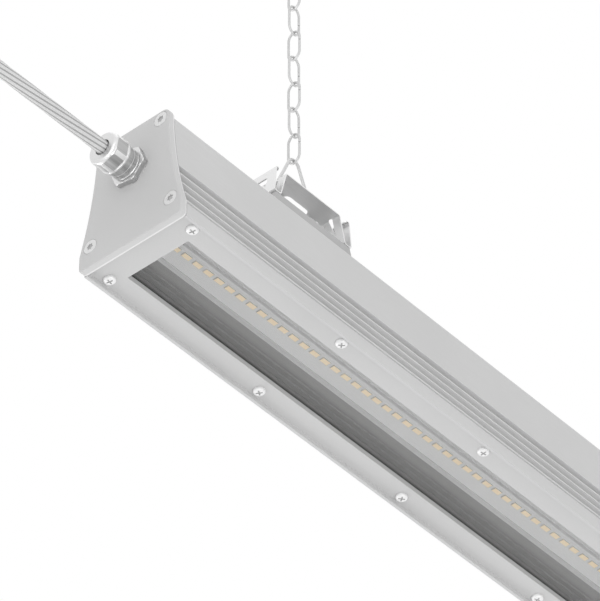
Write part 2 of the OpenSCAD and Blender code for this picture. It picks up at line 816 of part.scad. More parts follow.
module gear_screws() {
  color("silver") place() {
    for (x = [driver_start - foot_length / 2, driver_end + foot_length / 2, terminal_middle]) {
      translate([x, 0, web_top + foot_thick]) gear_screw(foot_thick);
    }
    translate([earth_start, earth_y, web_top]) gear_screw(0);
  }
}

module mains_cores() {
  start = cable_route[0][0] + hang_x;
  core_y = (cable_radius - wire_radius) * flat_share;
  bend = start + spigot_length;
  run = terminal_start + entry_depth - bend;
  fan = wire_pitch - core_y;
  color("saddlebrown") place() {
    bar_x(start, terminal_start + entry_depth - start, 0, gland_height, wire_radius, wire_facets);
    for (s = side_pair) {
      bar_x(start, spigot_length + overrun / 2, s * core_y, gland_height, wire_radius, wire_facets);
      translate([bend, s * core_y, gland_height]) rotate([0, 90, s * atan(fan / run)])
        cylinder(r = wire_radius - nest, h = norm([run, fan]), $fn = wire_facets);
    }
  }
}

module driver_input_wires() {
  start = terminal_start + terminal_length - entry_depth;
  color("royalblue") place() for (s = side_pair) {
    bar_x(start, driver_start - start, s * wire_pitch, gland_height, wire_radius, wire_facets);
  }
}

module led_feed_wires() {
  color("firebrick") place() for (s = side_pair) {
    bar_x(driver_end, feed_run, s * feed_y, gland_height, wire_radius, wire_facets);
    translate([driver_end + feed_run, s * feed_y, web_height])
      cylinder(r = wire_radius + nest, h = gland_height - web_height + wire_radius, $fn = wire_facets);
  }
}

module gland_body() {
  outer_end = -gland_hex_thick - collar_length;
  thread_end = outer_end - dome_thread_length;
  color("lightsteelblue") place() difference() {
    union() {
      hex_x(-gland_hex_thick, gland_hex_thick, gland_flats, gland_hex_turn);
      bar_x(outer_end, collar_length - neck_length, 0, gland_height, collar_radius, large_facets);
      bar_x(-gland_hex_thick - neck_length, neck_length, 0, gland_height, collar_radius - neck_depth,
        large_facets);
      bar_x(thread_end, spigot_length - thread_end, 0, gland_height, thread_radius, large_facets);
    }
    bar_x(thread_end - overrun, spigot_length - thread_end + 2 * overrun, 0, gland_height,
      gland_bore_radius, large_facets);
    bar_x(thread_end - overrun, seal_seat_depth + overrun, 0, gland_height, seal_seat_radius, large_facets);
  }
}

module gland_lock_nut() {
  color("lightsteelblue") place() difference() {
    hex_x(cap_thick, lock_thick, lock_flats, no_gap);
    bar_x(cap_thick - overrun, lock_thick + 2 * overrun, 0, gland_height, thread_radius + thread_clear,
      large_facets);
  }
}

module gland_dome_nut() {
  root = -gland_hex_thick - collar_length;
  face = root - dome_length;
  color("lightsteelblue") place() difference() {
    union() {
      bar_x(root - dome_ring, dome_ring, 0, gland_height, dome_radius, large_facets);
      intersection() {
        translate([face, 0, gland_height]) rotate([0, 90, 0]) rotate_extrude($fn = large_facets)
          polygon(concat(
          [[0, 0]],
          [for (i = [0:corner_steps]) let (a = 90 * i / corner_steps)
            [dome_face_radius + (dome_radius - dome_face_radius) * sin(a), dome_taper * (1 - cos(a))]],
          [[dome_radius, dome_length - dome_ring], [0, dome_length - dome_ring]]
        ));
        hex_x(face, dome_length, dome_flats, no_gap);
      }
    }
    bar_x(root - dome_thread_length - overrun / 2, dome_thread_length + overrun, 0, gland_height,
      thread_radius + thread_clear, large_facets);
    bar_x(face - overrun, dome_length, 0, gland_height, gland_bore_radius, large_facets);
  }
}

module gland_seal() {
  thread_end = -gland_hex_thick - collar_length - dome_thread_length;
  color("black") place() difference() {
    bar_x(thread_end, seal_seat_depth, 0, gland_height, seal_seat_radius - seal_clear, large_facets);
    bar_x(thread_end - overrun, seal_seat_depth + 2 * overrun, 0, gland_height, sealed_radius,
      large_facets);
  }
}

// The cable: one tube swept along its route
module power_cable() {
  n = len(cable_route);
  rings = [for (i = [0:n - 1])
    let (t = unit(cable_route[min(i + 1, n - 1)] - cable_route[max(i - 1, 0)]))
    let (up = cross(t, [0, 1, 0]))
    for (j = [0:cable_sides - 1])
      cable_route[i]
        + cable_radius * (cos(360 * j / cable_sides) * [0, 1, 0] + sin(360 * j / cable_sides) * up)];
  skin = [for (i = [0:n - 2], j = [0:cable_sides - 1])
    let (a = i * cable_sides + j)
    let (b = i * cable_sides + (j + 1) % cable_sides)
    [a, a + cable_sides, b + cable_sides, b]];
  first = [[for (j = [0:cable_sides - 1]) j]];
  last = [[for (j = [cable_sides - 1:-1:0]) (n - 1) * cable_sides + j]];
  color("darkgray") polyhedron(points = rings, faces = concat(skin, first, last));
}

module connector_nut() {
  color("gray") translate(cable_end - [0, 0, tail_nut_length])
    intersection() {
      cylinder(r = tail_nut_radius, h = tail_nut_length, $fn = large_facets);
      cylinder(r = tail_nut_radius / cos(22.5) * flat_share, h = tail_nut_length, $fn = 8);
    }
}

module connector_body() {
  color("gray") translate(cable_end - [0, 0, tail_nut_length + tail_length]) {
    difference() {
      cylinder(r = tail_radius, h = tail_length, $fn = large_facets);
      translate([0, 0, -overrun])
        cylinder(r = tail_bore_radius, h = tail_bore_depth + overrun, $fn = large_facets);
    }
    for (i = [0:2]) {
      rotate([0, 0, 120 * i]) translate([pin_circle_radius, 0, tail_bore_depth - pin_length])
        cylinder(r = pin_radius, h = pin_length + overrun, $fn = wire_facets);
    }
  }
}

// A bent wire in the upright plane along the light
module wire_bend(radius, from, to, wire) {
  rotate([90, 0, 0]) rotate([0, 0, from]) rotate_extrude(angle = to - from, $fn = bend_facets)
    translate([radius, 0]) circle(r = wire, $fn = wire_facets);
}

module link_end() {
  side = link_sides / 2;
  rise = sqrt(pow(link_shoulder_radius - link_tip_radius, 2) - pow(link_shoulder_radius - side, 2));
  turn = atan2(rise, link_shoulder_radius - side);
  translate([0, 0, link_span / 2 - link_tip_radius])
    wire_bend(link_tip_radius, turn, 180 - turn, link_wire);
  for (m = mirror_pair) {
    mirror([m, 0, 0]) translate([side - link_shoulder_radius, 0, link_span / 2 - link_tip_radius - rise])
      wire_bend(link_shoulder_radius, -nest_turn, turn + nest_turn, link_wire - nest);
  }
}

module chain_link(number, far) {
  side = link_sides / 2;
  rise = sqrt(pow(link_shoulder_radius - link_tip_radius, 2) - pow(link_shoulder_radius - side, 2));
  straight = link_span / 2 - link_tip_radius - rise;
  color("silver") at_hang(far)
    translate([0, 0, link_low + (number - 1) * link_pitch + link_span / 2])
      rotate([0, 0, number % 2 == 1 ? 90 : 0]) {
      link_end();
      mirror([0, 0, 1]) link_end();
      for (s = side_pair) {
        translate([s * side, 0, -straight]) cylinder(r = link_wire, h = 2 * straight, $fn = wire_facets);
      }
    }
}

module v_hook(far) {
  apex_drop = hook_top - hook_top_bend - clip_top_height;
  tilt = acos(hook_top_bend / norm([hook_spread, apex_drop])) - atan(apex_drop / hook_spread);
  bend_gap = hook_top - foot_line - hook_top_bend - hook_foot_bend;
  bend_x = (hook_top_bend - hook_foot_bend + bend_gap * sin(tilt)) / cos(tilt);
  foot_point = [bend_x + hook_foot_bend * cos(tilt),
    foot_line + hook_foot_bend + hook_foot_bend * sin(tilt)];
  top_point = [hook_top_bend * cos(tilt), hook_top - hook_top_bend + hook_top_bend * sin(tilt)];
  color("silver") at_hang(far) {
    translate([0, 0, hook_top - hook_top_bend])
      wire_bend(hook_top_bend, tilt - nest_turn, 180 - tilt + nest_turn, hook_wire - nest);
    for (m = mirror_pair) {
      mirror([m, 0, 0]) {
        translate([bend_x, 0, foot_line + hook_foot_bend])
          wire_bend(hook_foot_bend, -90 - nest_turn, tilt + nest_turn, hook_wire - nest);
        bar_x(hook_foot_end, bend_x - hook_foot_end, 0, foot_line, hook_wire, wire_facets);
        translate([foot_point[0], 0, foot_point[1]]) rotate([0, -tilt, 0])
          cylinder(r = hook_wire, h = norm(top_point - foot_point), $fn = wire_facets);
      }
    }
  }
}

module bracket_clip(far) {
  foot_middle = block_top + clip_sheet / 2;
  line = mirrored_line([
    [clip_top_half, clip_top_height], [clip_inner_half, foot_middle], [clip_foot_half, foot_middle],
    [clip_leg_half, clip_leg_top], [clip_tip_half, clip_tip_height]
  ]);
  color("silver") at_hang(far) difference() {
    translate([0, clip_width / 2, 0]) rotate([90, 0, 0]) linear_extrude(clip_width)
      polygon(ribbon(line, clip_sheet));
    translate([-top_slot_half, -top_slot_half_width, clip_top_height - overrun])
      cube([2 * top_slot_half, 2 * top_slot_half_width, 2 * overrun]);
    for (m = mirror_pair) {
      mirror([m, 0, 0]) {
        translate([foot_slot_x - foot_slot_half, -foot_slot_half_width, clip_top_height - overrun])
          cube([2 * foot_slot_half, 2 * foot_slot_half_width, 2 * overrun]);
        translate([clip_leg_half - overrun, -finger_slot_half, finger_slot_low])
          cube([clip_foot_half - clip_leg_half + 2 * overrun, 2 * finger_slot_half,
            finger_slot_top - finger_slot_low]);
        translate([clip_screw_x, 0, foot_middle - overrun])
          cylinder(r = clip_shank_radius + screw_clear, h = 2 * overrun, $fn = round_facets);
        translate([clip_leg_half, -pip_y, pip_height]) rotate([0, 90, 0])
          cylinder(r = pip_radius, h = clip_foot_half - clip_leg_half + overrun, $fn = round_facets);
        for (s = side_pair) {
          translate([clip_top_half - relief_radius / 2, s * relief_y, clip_top_height - 2 * relief_radius])
            cylinder(r = relief_radius, h = 3 * relief_radius, $fn = round_facets);
          translate([clip_top_half - overrun, 0, 0]) rotate([90, 0, 90])
            linear_extrude(clip_inner_half - clip_top_half + overrun) polygon([
              [s * slit_start_y, clip_top_height - 2 * relief_radius],
              [s * slit_end_y, clip_top_height - 2 * relief_radius],
              [s * slit_end_y, slit_low]
            ]);
        }
      }
    }
  }
}

module clip_screws(far) {
  foot_top = block_top + clip_sheet;
  color("silver") at_hang(far) for (s = side_pair) {
    translate([s * clip_screw_x, 0, foot_top]) {
      cylinder(r = clip_head_radius, h = clip_head_height, $fn = round_facets);
      translate([0, 0, -clip_shank_length])
        cylinder(r = clip_shank_radius, h = clip_shank_length, $fn = round_facets);
    }
  }
}

module mount_block(far) {
  color("darkgray") at_hang(far) difference() {
    translate([0, clip_width / 2, 0]) rotate([90, 0, 0]) linear_extrude(clip_width) polygon(both_sides([
      [block_half_base, body_height], [block_half_knee, block_knee], [block_half_top, block_top]
    ]));
    for (s = side_pair) {
      translate([s * clip_screw_x, 0, block_top + clip_sheet - clip_shank_length - overrun / 2])
        cylinder(r = clip_shank_radius + screw_clear, h = clip_shank_length + overrun, $fn = round_facets);
      translate([s * block_screw_x, 0, body_height - overrun])
        cylinder(r = block_shank_radius + screw_clear,
          h = block_shank_length - roof_thick + 2 * overrun, $fn = round_facets);
    }
  }
}

module block_screws(far) {
  color("silver") at_hang(far) for (s = side_pair) {
    translate([s * block_screw_x, 0, roof_low]) {
      cylinder(r = block_shank_radius, h = block_shank_length, $fn = round_facets);
      translate([0, 0, -block_head_height])
        cylinder(r = block_head_radius, h = block_head_height, $fn = round_facets);
    }
  }
}

module ceiling_plate(far) {
  long = plate_length / 2;
  wide = plate_width / 2;
  color("silver") at_hang(far) translate([0, 0, drop - plate_thick]) difference() {
    linear_extrude(plate_thick) polygon(concat(
      arc_points([long - plate_corner, wide - plate_corner], plate_corner, 0, 90, corner_steps),
      arc_points([plate_corner - long, wide - plate_corner], plate_corner, 90, 180, corner_steps),
      arc_points([plate_corner - long, plate_corner - wide], plate_corner, 180, 270, corner_steps),
      arc_points([long - plate_corner, plate_corner - wide], plate_corner, 270, 360, corner_steps)
    ));
    for (s = side_pair) {
      translate([s * plate_hole_pitch / 2, 0, -overrun])
        cylinder(r = plate_hole_radius, h = plate_thick + 2 * overrun, $fn = round_facets);
    }
    translate([0, 0, -overrun])
      cylinder(r = stem_radius + screw_clear, h = plate_thick + 2 * overrun, $fn = round_facets);
  }
}

module ceiling_hook(far) {
  plate_low = drop - plate_thick;
  color("silver") at_hang(far) {
    translate([0, 0, eye_middle]) rotate([0, 0, 90]) wire_bend(eye_radius, 90 - eye_turn, 90, eye_wire);
    translate([0, 0, eye_high - eye_wire / 2])
      cylinder(r = stem_radius, h = plate_low + plate_thick / 2 - eye_high + eye_wire / 2,
        $fn = round_facets);
    translate([0, 0, plate_low - stem_collar_thick])
      cylinder(r = stem_collar_radius, h = stem_collar_thick, $fn = round_facets);
  }
}

ceiling_plate(false);  // ceiling_plate_a
ceiling_hook(false);  // ceiling_hook_a
ceiling_plate(true);  // ceiling_plate_b
ceiling_hook(true);  // ceiling_hook_b
for (i = [1:link_count]) {
  chain_link(i, false);
  chain_link(i, true);
}
v_hook(false);  // v_hook_a
v_hook(true);  // v_hook_b
bracket_clip(false);  // bracket_clip_a
bracket_clip(true);  // bracket_clip_b
clip_screws(false);  // clip_screws_a
clip_screws(true);  // clip_screws_b
mount_block(false);  // mount_block_a
mount_block(true);  // mount_block_b
block_screws(false);  // block_screws_a
block_screws(true);  // block_screws_b
housing_extrusion();
end_cap(false);  // end_cap_near
end_cap(true);  // end_cap_far
end_gasket(false);  // end_gasket_near
end_gasket(true);  // end_gasket_far
cap_screws(false);  // cap_screws_near
cap_screws(true);  // cap_screws_far
front_frame();
frame_screws(-1);  // frame_screws_left
frame_screws(1);  // frame_screws_right
front_glass();
glass_gasket();
led_board(-1);  // led_board_left
led_board(1);  // led_board_right
led_packages(-1);  // led_packages_left
led_packages(1);  // led_packages_right
led_driver();
terminal_block();
gear_screws();
mains_cores();
driver_input_wires();
led_feed_wires();
gland_body();
gland_lock_nut();
gland_dome_nut();
gland_seal();
power_cable();
connector_nut();
connector_body();
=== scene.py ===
"""Dresses a linear shop light that hangs on two chains.

The pieces of the light are worked out in its own millimetres: X from the near end, Y from the
middle plane, Z up from the lips. ``to_row`` carries them to the shared frame in metres.
"""
import logging
from dataclasses import dataclass, field
from enum import Enum
from typing import Callable, Optional, Sequence

import bmesh
import bpy
import numpy as np
from mathutils import Matrix, Vector
from mathutils.geometry import delaunay_2d_cdt


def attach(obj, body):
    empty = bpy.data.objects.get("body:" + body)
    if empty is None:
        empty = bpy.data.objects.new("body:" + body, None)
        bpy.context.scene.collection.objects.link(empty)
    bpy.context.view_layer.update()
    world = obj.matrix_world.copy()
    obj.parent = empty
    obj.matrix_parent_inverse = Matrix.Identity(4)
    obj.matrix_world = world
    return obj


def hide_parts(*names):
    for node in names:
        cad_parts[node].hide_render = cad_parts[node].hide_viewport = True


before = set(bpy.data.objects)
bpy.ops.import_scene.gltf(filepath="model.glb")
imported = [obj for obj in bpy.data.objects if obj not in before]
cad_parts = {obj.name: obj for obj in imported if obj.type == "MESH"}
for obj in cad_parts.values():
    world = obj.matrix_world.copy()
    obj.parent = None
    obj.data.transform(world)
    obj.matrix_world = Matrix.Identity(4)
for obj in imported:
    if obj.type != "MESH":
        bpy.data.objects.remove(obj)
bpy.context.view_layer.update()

LOG = logging.getLogger("shop_light")

LENGTH = 1160.0
NEAR_HANG = 137.0  # places of the two hanging points along the light
FAR_HANG = LENGTH - NEAR_HANG
CEILING = 355.5  # height of the ceiling
ORIGIN = np.array([NEAR_HANG, 0.0, CEILING])  # the shared frame's origin
CAP = 5.0  # depth of an end cap; the extrusion lies between the caps
HOLLOW, HOLLOW_HEIGHT = 300.0, 92.5  # radius of the hollow sides and height of its middle
WAIST = 27.32  # half width where the sides are narrowest
FOOT = 38.46  # half width at the lips
LIP = 36.2  # half width between the lips
PORTS = ((21.2, 81.1), (30.1, 15.2))  # (y, z) of the right cap screws
FULL_TURN = 2 * np.pi


# --------------------------------------------------------------------------- shared sums


def to_row(points: np.ndarray) -> np.ndarray:
    """Carries the light's millimetres to the shared frame in metres: (p - origin) / 1000."""
    return (np.asarray(points, float) - ORIGIN) / 1000.0


def mirror_y(points: np.ndarray) -> np.ndarray:
    """Closes a right half outline (y, z), listed upwards, with its left half."""
    return np.vstack([points, points[::-1] * [-1, 1]])


def half_width(z: np.ndarray) -> np.ndarray:
    """Half width at height z: 27.32 + 300 - sqrt(300^2 - (92.5 - z)^2), upright below 11.5."""
    z = np.maximum(z, 11.5)
    return WAIST + HOLLOW - np.sqrt(HOLLOW**2 - (HOLLOW_HEIGHT - z) ** 2)


def unit(rows: np.ndarray) -> np.ndarray:
    """Each row scaled to length 1."""
    return rows / np.maximum(np.linalg.norm(rows, axis=1), 1e-9)[:, None]


def way(points: np.ndarray) -> np.ndarray:
    """Length along a line up to each of its points."""
    return np.r_[0, np.cumsum(np.linalg.norm(np.diff(points, axis=0), axis=1))]


def round_angles(count: int) -> np.ndarray:
    """Angles of count points spread evenly round a circle."""
    return np.linspace(0, FULL_TURN, count, endpoint=False)


def rounded(corners: Sequence, radii: Sequence, steps: int = 6, closed: bool = True) -> np.ndarray:
    """Rounds the corners of a flat line.

    At each corner the arc touches both legs at radius / tan(half the inner angle) from it, and
    its points are swept about its middle from one tangent point to the other.

    Args:
        corners: (n, 2) corner points.
        radii: one radius for each corner, or one for all; 0 keeps a corner sharp.
        steps: pieces in each arc.
        closed: whether the line comes back to its start.

    Returns:
        (m, 2) points.
    """
    c = np.asarray(corners, float)
    r = np.broadcast_to(np.asarray(radii, float), (len(c),)).copy()
    if not closed:
        r[[0, -1]] = 0
    u, v = unit(np.roll(c, 1, 0) - c), unit(np.roll(c, -1, 0) - c)
    inner = np.arccos(np.clip((u * v).sum(1), -0.999999, 0.999999))
    mid = c + unit(u + v) * (r / np.sin(inner / 2))[:, None]
    reach = (r / np.tan(inner / 2))[:, None]
    first, last = c + u * reach - mid, c + v * reach - mid
    start = np.arctan2(first[:, 1], first[:, 0])
    cross = first[:, 0] * last[:, 1] - first[:, 1] * last[:, 0]
    turn = np.arctan2(cross, (first * last).sum(1))
    ang = start[:, None] + turn[:, None] * np.linspace(0, 1, steps + 1)
    pts = mid[:, None, :] + r[:, None, None] * np.stack([np.cos(ang), np.sin(ang)], -1)
    sharp = r < 1e-9
    pts[sharp] = c[sharp][:, None, :]
    pts = pts.reshape(-1, 2)
    keep = np.r_[True, np.linalg.norm(np.diff(pts, axis=0), axis=1) > 1e-6]
    if closed and np.linalg.norm(pts[0] - pts[-1]) < 1e-6:
        keep[-1] = False
    return pts[keep]


def rectangle(low: Sequence, high: Sequence, radius: float, steps: int = 3) -> np.ndarray:
    """A rectangle between two corner points, anticlockwise, with rounded corners."""
    (x0, y0), (x1, y1) = low, high
    return rounded([(x0, y0), (x1, y0), (x1, y1), (x0, y1)], radius, steps)


def offset_loop(loop: np.ndarray, inset: float) -> np.ndarray:
    """Moves a closed outline inwards along its mitred normals.

    Args:
        loop: the outline, (n, 2), either way round.
        inset: how far; a negative number moves it outwards.

    Returns:
        The moved outline.
    """
    e = unit(np.roll(loop, -1, 0) - loop)
    n = np.stack([-e[:, 1], e[:, 0]], 1)
    m = n + np.roll(n, 1, 0)
    m /= np.maximum((m * n).sum(1), 0.4)[:, None]
    x, y = loop.T
    area = np.sum(x * np.roll(y, -1) - np.roll(x, -1) * y)
    return loop + (inset if area > 0 else -inset) * m


def inside(points: np.ndarray, loop: np.ndarray) -> np.ndarray:
    """Whether points lie inside a closed outline, by counting the edges that a ray crosses.

    Args:
        points: (n, 2) points.
        loop: the outline, (m, 2).

    Returns:
        n truth values.
    """
    a, b = loop, np.roll(loop, -1, 0)
    px, py = points[:, None, 0], points[:, None, 1]
    cross = (a[None, :, 1] > py) != (b[None, :, 1] > py)
    dy = b[:, 1] - a[:, 1]
    dy = np.where(np.abs(dy) < 1e-12, 1e-12, dy)
    x_at = a[:, 0] + (py - a[:, 1]) * (b[:, 0] - a[:, 0]) / dy
    return (cross & (px < x_at)).sum(1) % 2 == 1


def fill(loops: Sequence[np.ndarray], extra: Optional[np.ndarray] = None) -> tuple:
    """Triangles between outlines by a constrained Delaunay net, holes left open.

    Args:
        loops: the outer outline and any holes, (n, 2) each.
        extra: points to place inside, (k, 2).

    Returns:
        The points used, (m, 2), and triangles as (t, 3) indices into them. The outlines' points
        come first and keep their order.
    """
    pts = np.vstack(loops)
    edges, start = [], 0
    for loop in loops:
        i = np.arange(len(loop)) + start
        edges.append(np.stack([i, np.roll(i, -1)], 1))
        start += len(loop)
    if extra is not None:
        pts = np.vstack([pts, extra])
    lines = np.vstack(edges).tolist()
    out = delaunay_2d_cdt([Vector(p) for p in pts.tolist()], lines, [], 0, 1e-7)
    verts, tris = np.array([v[:] for v in out[0]]), np.array(out[2])
    back = np.array([o[0] if o else -1 for o in out[3]])
    mid = verts[tris].mean(1)
    ok = inside(mid, loops[0])
    for hole in loops[1:]:
        ok &= ~inside(mid, hole)
    tris = back[tris[ok]]
    tris = tris[(tris >= 0).all(1)]
    a, b, c = pts[tris[:, 0]], pts[tris[:, 1]], pts[tris[:, 2]]
    area = (b - a)[:, 0] * (c - a)[:, 1] - (b - a)[:, 1] * (c - a)[:, 0]
    tris[area < 0] = tris[area < 0][:, ::-1]
    return pts, tris[np.abs(area) > 1e-12]


def grid_quads(
    rows: int, cols: int, wrap_rows: bool = False, wrap_cols: bool = False
) -> np.ndarray:
    """Faces of a grid of points listed row by row.

    Args:
        rows, cols: points each way.
        wrap_rows, wrap_cols: whether the last row or column joins the first.

    Returns:
        (n, 4) indices.
    """
    r = np.arange(rows if wrap_rows else rows - 1)
    c = np.arange(cols if wrap_cols else cols - 1)
    r, c = np.meshgrid(r, c, indexing="ij")
    r1, c1 = (r + 1) % rows, (c + 1) % cols
    return np.stack([r * cols + c, r * cols + c1, r1 * cols + c1, r1 * cols + c], -1).reshape(-1, 4)


class Shape:
    """Points and faces that are gathered before one mesh is made."""

    def __init__(self) -> None:
        """Starts empty."""
        self.points: list = []
        self.faces: list = []
        self.paint: list = []
        self.count = 0

    def add(self, points: np.ndarray, faces: Sequence, paint: int = 0) -> "Shape":
        """Adds points and the faces between them.

        Args:
            points: any array whose last axis is x, y, z.
            faces: (n, k) indices into these points.
            paint: the faces' material number.

        Returns:
            The shape itself.
        """
        pts = np.asarray(points, float).reshape(-1, 3)
        rows = (np.asarray(faces) + self.count).tolist()
        self.points.append(pts)
        self.faces += rows
        self.paint += [paint] * len(rows)
        self.count += len(pts)
        return self

    def join(self, other: "Shape", paint: Optional[int] = None) -> "Shape":
        """Adds another shape.

        Args:
            other: the other shape.
            paint: a material number for all its faces, or none to keep its own.

        Returns:
            The shape itself.
        """
        base = self.count
        self.points += other.points
        self.faces += [[i + base for i in f] for f in other.faces]
        self.paint += other.paint if paint is None else [paint] * len(other.faces)
        self.count += other.count
        return self

    def painted(self, choose: Callable[[np.ndarray], np.ndarray], paint: int) -> "Shape":
        """Gives a material number to some faces.

        Args:
            choose: says which, from the faces' middle points, (n, 3).
            paint: their material number.

        Returns:
            The shape itself.
        """
        pts = self.array()
        mid = np.array([pts[f].mean(0) for f in self.faces])
        for i in np.flatnonzero(choose(mid)):
            self.paint[i] = paint
        return self

    def array(self) -> np.ndarray:
        """All points as one array."""
        return np.vstack(self.points)

    def moved(self, change: Callable[[np.ndarray], np.ndarray]) -> "Shape":
        """A copy whose points went through a function.

        Args:
            change: turns the points, (n, 3), into others.

        Returns:
            The copy.
        """
        out = Shape()
        out.points, out.count = [change(self.array())], self.count
        out.faces, out.paint = [list(f) for f in self.faces], list(self.paint)
        return out

    def at_far_end(self) -> "Shape":
        """A copy mirrored to the light's far end, its faces turned over.

        Returns:
            The copy.
        """
        out = self.moved(lambda p: p * [-1, 1, 1] + [LENGTH, 0, 0])
        out.faces = [f[::-1] for f in out.faces]
        return out


def solid_rings(rings: np.ndarray) -> Shape:
    """A closed skin over rings of points, with a middle point on each end.

    Args:
        rings: (n, m, 3) points, anticlockwise seen from the last ring, so the skin faces outwards.

    Returns:
        The shape, its wall's faces first.
    """
    n, m, _ = rings.shape
    shape = Shape().add(rings, grid_quads(n, m, wrap_cols=True)[:, ::-1])
    k = np.arange(m)
    fan = np.stack([k, np.roll(k, -1), np.full(m, m)], 1)
    for ring, faces in ((rings[0], fan), (rings[-1], fan[:, ::-1])):
        shape.add(np.vstack([ring, ring.mean(0)[None]]), faces)
    return shape


def hollow_rings(rings: np.ndarray) -> Shape:
    """A closed skin over rings whose last joins the first, as for a bored piece."""
    return Shape().add(rings, grid_quads(rings.shape[0], rings.shape[1], True, True))


def make_piece(
    name: str, shape: Shape, materials: Sequence, smooth: float = 35.0, row: bool = False
) -> bpy.types.Object:
    """Makes one object with its place in its mesh.

    Args:
        name: the piece's name.
        shape: its points, in the light's millimetres unless row is set.
        materials: its materials, by the shape's material numbers.
        smooth: faces that meet at less than this many degrees are shaded as one surface.
        row: whether the points are already in the shared frame in metres.

    Returns:
        The object.
    """
    pts = shape.array()
    pts = pts if row else to_row(pts)
    mesh = bpy.data.meshes.new(name)
    mesh.from_pydata(pts.tolist(), [], shape.faces)
    for material in materials:
        mesh.materials.append(material)
    mesh.polygons.foreach_set("material_index", np.asarray(shape.paint, np.int32))
    obj = bpy.data.objects.new(name, mesh)
    bpy.context.collection.objects.link(obj)
    bm = bmesh.new()
    bm.from_mesh(mesh)
    bmesh.ops.remove_doubles(bm, verts=bm.verts, dist=1e-7)
    bmesh.ops.recalc_face_normals(bm, faces=bm.faces)
    bm.to_mesh(mesh)
    bm.free()
    mesh.polygons.foreach_set("use_smooth", np.ones(len(mesh.polygons), bool))
    mesh.set_sharp_from_angle(angle=np.radians(smooth))
    mesh.update()
    LOG.info("%s: %d points, %d faces", name, len(mesh.vertices), len(mesh.polygons))
    return obj


# --------------------------------------------------------------------------- shapes


def prism(
    outline: np.ndarray,
    stations: Sequence,
    holes: Sequence,
    axes: Callable[[np.ndarray, float], np.ndarray],
    sides: int = 32,
) -> Shape:
    """A straight bar of an outline whose edges are eased by insets at its stations.

    Args:
        outline: closed outline, (n, 2), anticlockwise.
        stations: (place along the bar, inset) from one end to the other.
        holes: (middle, [(place, radius), ...]) for round holes, or an (n, 2) outline.
        axes: turns (points, place) into 3-D points.
        sides: points round a hole.

    Returns:
        A closed shape: walls from the stations, both ends filled between outline and holes.
    """
    loops = [offset_loop(outline, inset) for _, inset in stations]
    rings = np.stack([axes(loop, place) for loop, (place, _) in zip(loops, stations)])
    shape = Shape().add(rings, grid_quads(len(stations), len(outline), wrap_cols=True))
    low, high = [loops[0]], [loops[-1]]
    t = round_angles(sides)
    circle = np.stack([np.cos(t), np.sin(t)], 1)
    for hole in holes:
        if isinstance(hole, tuple):
            middle, bore = hole
            walls = [(np.asarray(middle) + circle * r, place) for place, r in bore]
        else:
            walls = [(hole, stations[0][0]), (hole, stations[-1][0])]
        rings = np.stack([axes(loop, place) for loop, place in walls])
        shape.add(rings, grid_quads(len(walls), len(walls[0][0]), wrap_cols=True)[:, ::-1])
        low.append(walls[0][0])
        high.append(walls[-1][0])
    for loops, place, order in ((low, stations[0][0], -1), (high, stations[-1][0], 1)):
        pts, tris = fill(loops)
        shape.add(axes(pts, place), tris[:, ::order])
    return shape


def along_x(points: np.ndarray, place: float) -> np.ndarray:
    """Outline (y, z) at a place along the light."""
    return np.column_stack([np.full(len(points), place), points])


def along_z(points: np.ndarray, place: float) -> np.ndarray:
    """Outline (x, y) at a height."""
    return np.column_stack([points, np.full(len(points), place)])


def along_y(points: np.ndarray, place: float) -> np.ndarray:
    """Outline (x, z) at a sideways place; the outline runs clockwise seen from +Y."""
    return np.column_stack([points[:, 0], np.full(len(points), -place), points[:, 1]])


def eased(start: float, end: float, radius: float) -> list:
    """Stations of a bar whose two end edges are rounded by a quarter circle.

    At an angle a the place is radius (1 - sin a) from the end and the inset is
    radius (1 - cos a).

    Args:
        start, end: the bar's ends.
        radius: of the rounding.

    Returns:
        (place, inset) from start to end.
    """
    a = np.linspace(0, np.pi / 2, 4)
    steps = [(radius * (1 - np.sin(x)), radius * (1 - np.cos(x))) for x in a]
    return [(start + d, i) for d, i in steps[::-1]] + [(end - d, i) for d, i in steps]


def wire(
    path: np.ndarray, radius: np.ndarray, normal: Sequence, sides: int, closed: bool = False
) -> Shape:
    """A round wire along a flat path.

    Each ring is path + r (cos a * side - sin a * normal), where side lies in the path's plane,
    square to it. An open wire's ends are domed by shrinking rings.

    Args:
        path: (n, 3) points.
        radius: one for all points, or one for each.
        normal: direction square to the path's plane.
        sides: points round the wire.
        closed: whether the path comes back to its start.

    Returns:
        A closed shape.
    """
    p, n = np.asarray(path, float), np.asarray(normal, float)
    t = unit(np.roll(p, -1, 0) - np.roll(p, 1, 0) if closed else np.gradient(p, axis=0))
    r = np.broadcast_to(np.asarray(radius, float), (len(p),))
    if not closed:
        a = np.linspace(0, np.pi / 2, 5)[1:-1]
        head = p[0] - t[0] * (r[0] * np.sin(a))[::-1, None]
        tail = p[-1] + t[-1] * (r[-1] * np.sin(a))[:, None]
        r = np.r_[(r[0] * np.cos(a))[::-1], r, r[-1] * np.cos(a)]
        p = np.vstack([head, p, tail])
        t = np.vstack([np.repeat(t[:1], len(a), 0), t, np.repeat(t[-1:], len(a), 0)])
    ang = round_angles(sides)[None, :, None]
    ring = np.cos(ang) * np.cross(t, n)[:, None] - np.sin(ang) * n
    rings = p[:, None] + r[:, None, None] * ring
    if closed:
        return Shape().add(rings, grid_quads(len(p), sides, True, True)[:, ::-1])
    return solid_rings(rings)


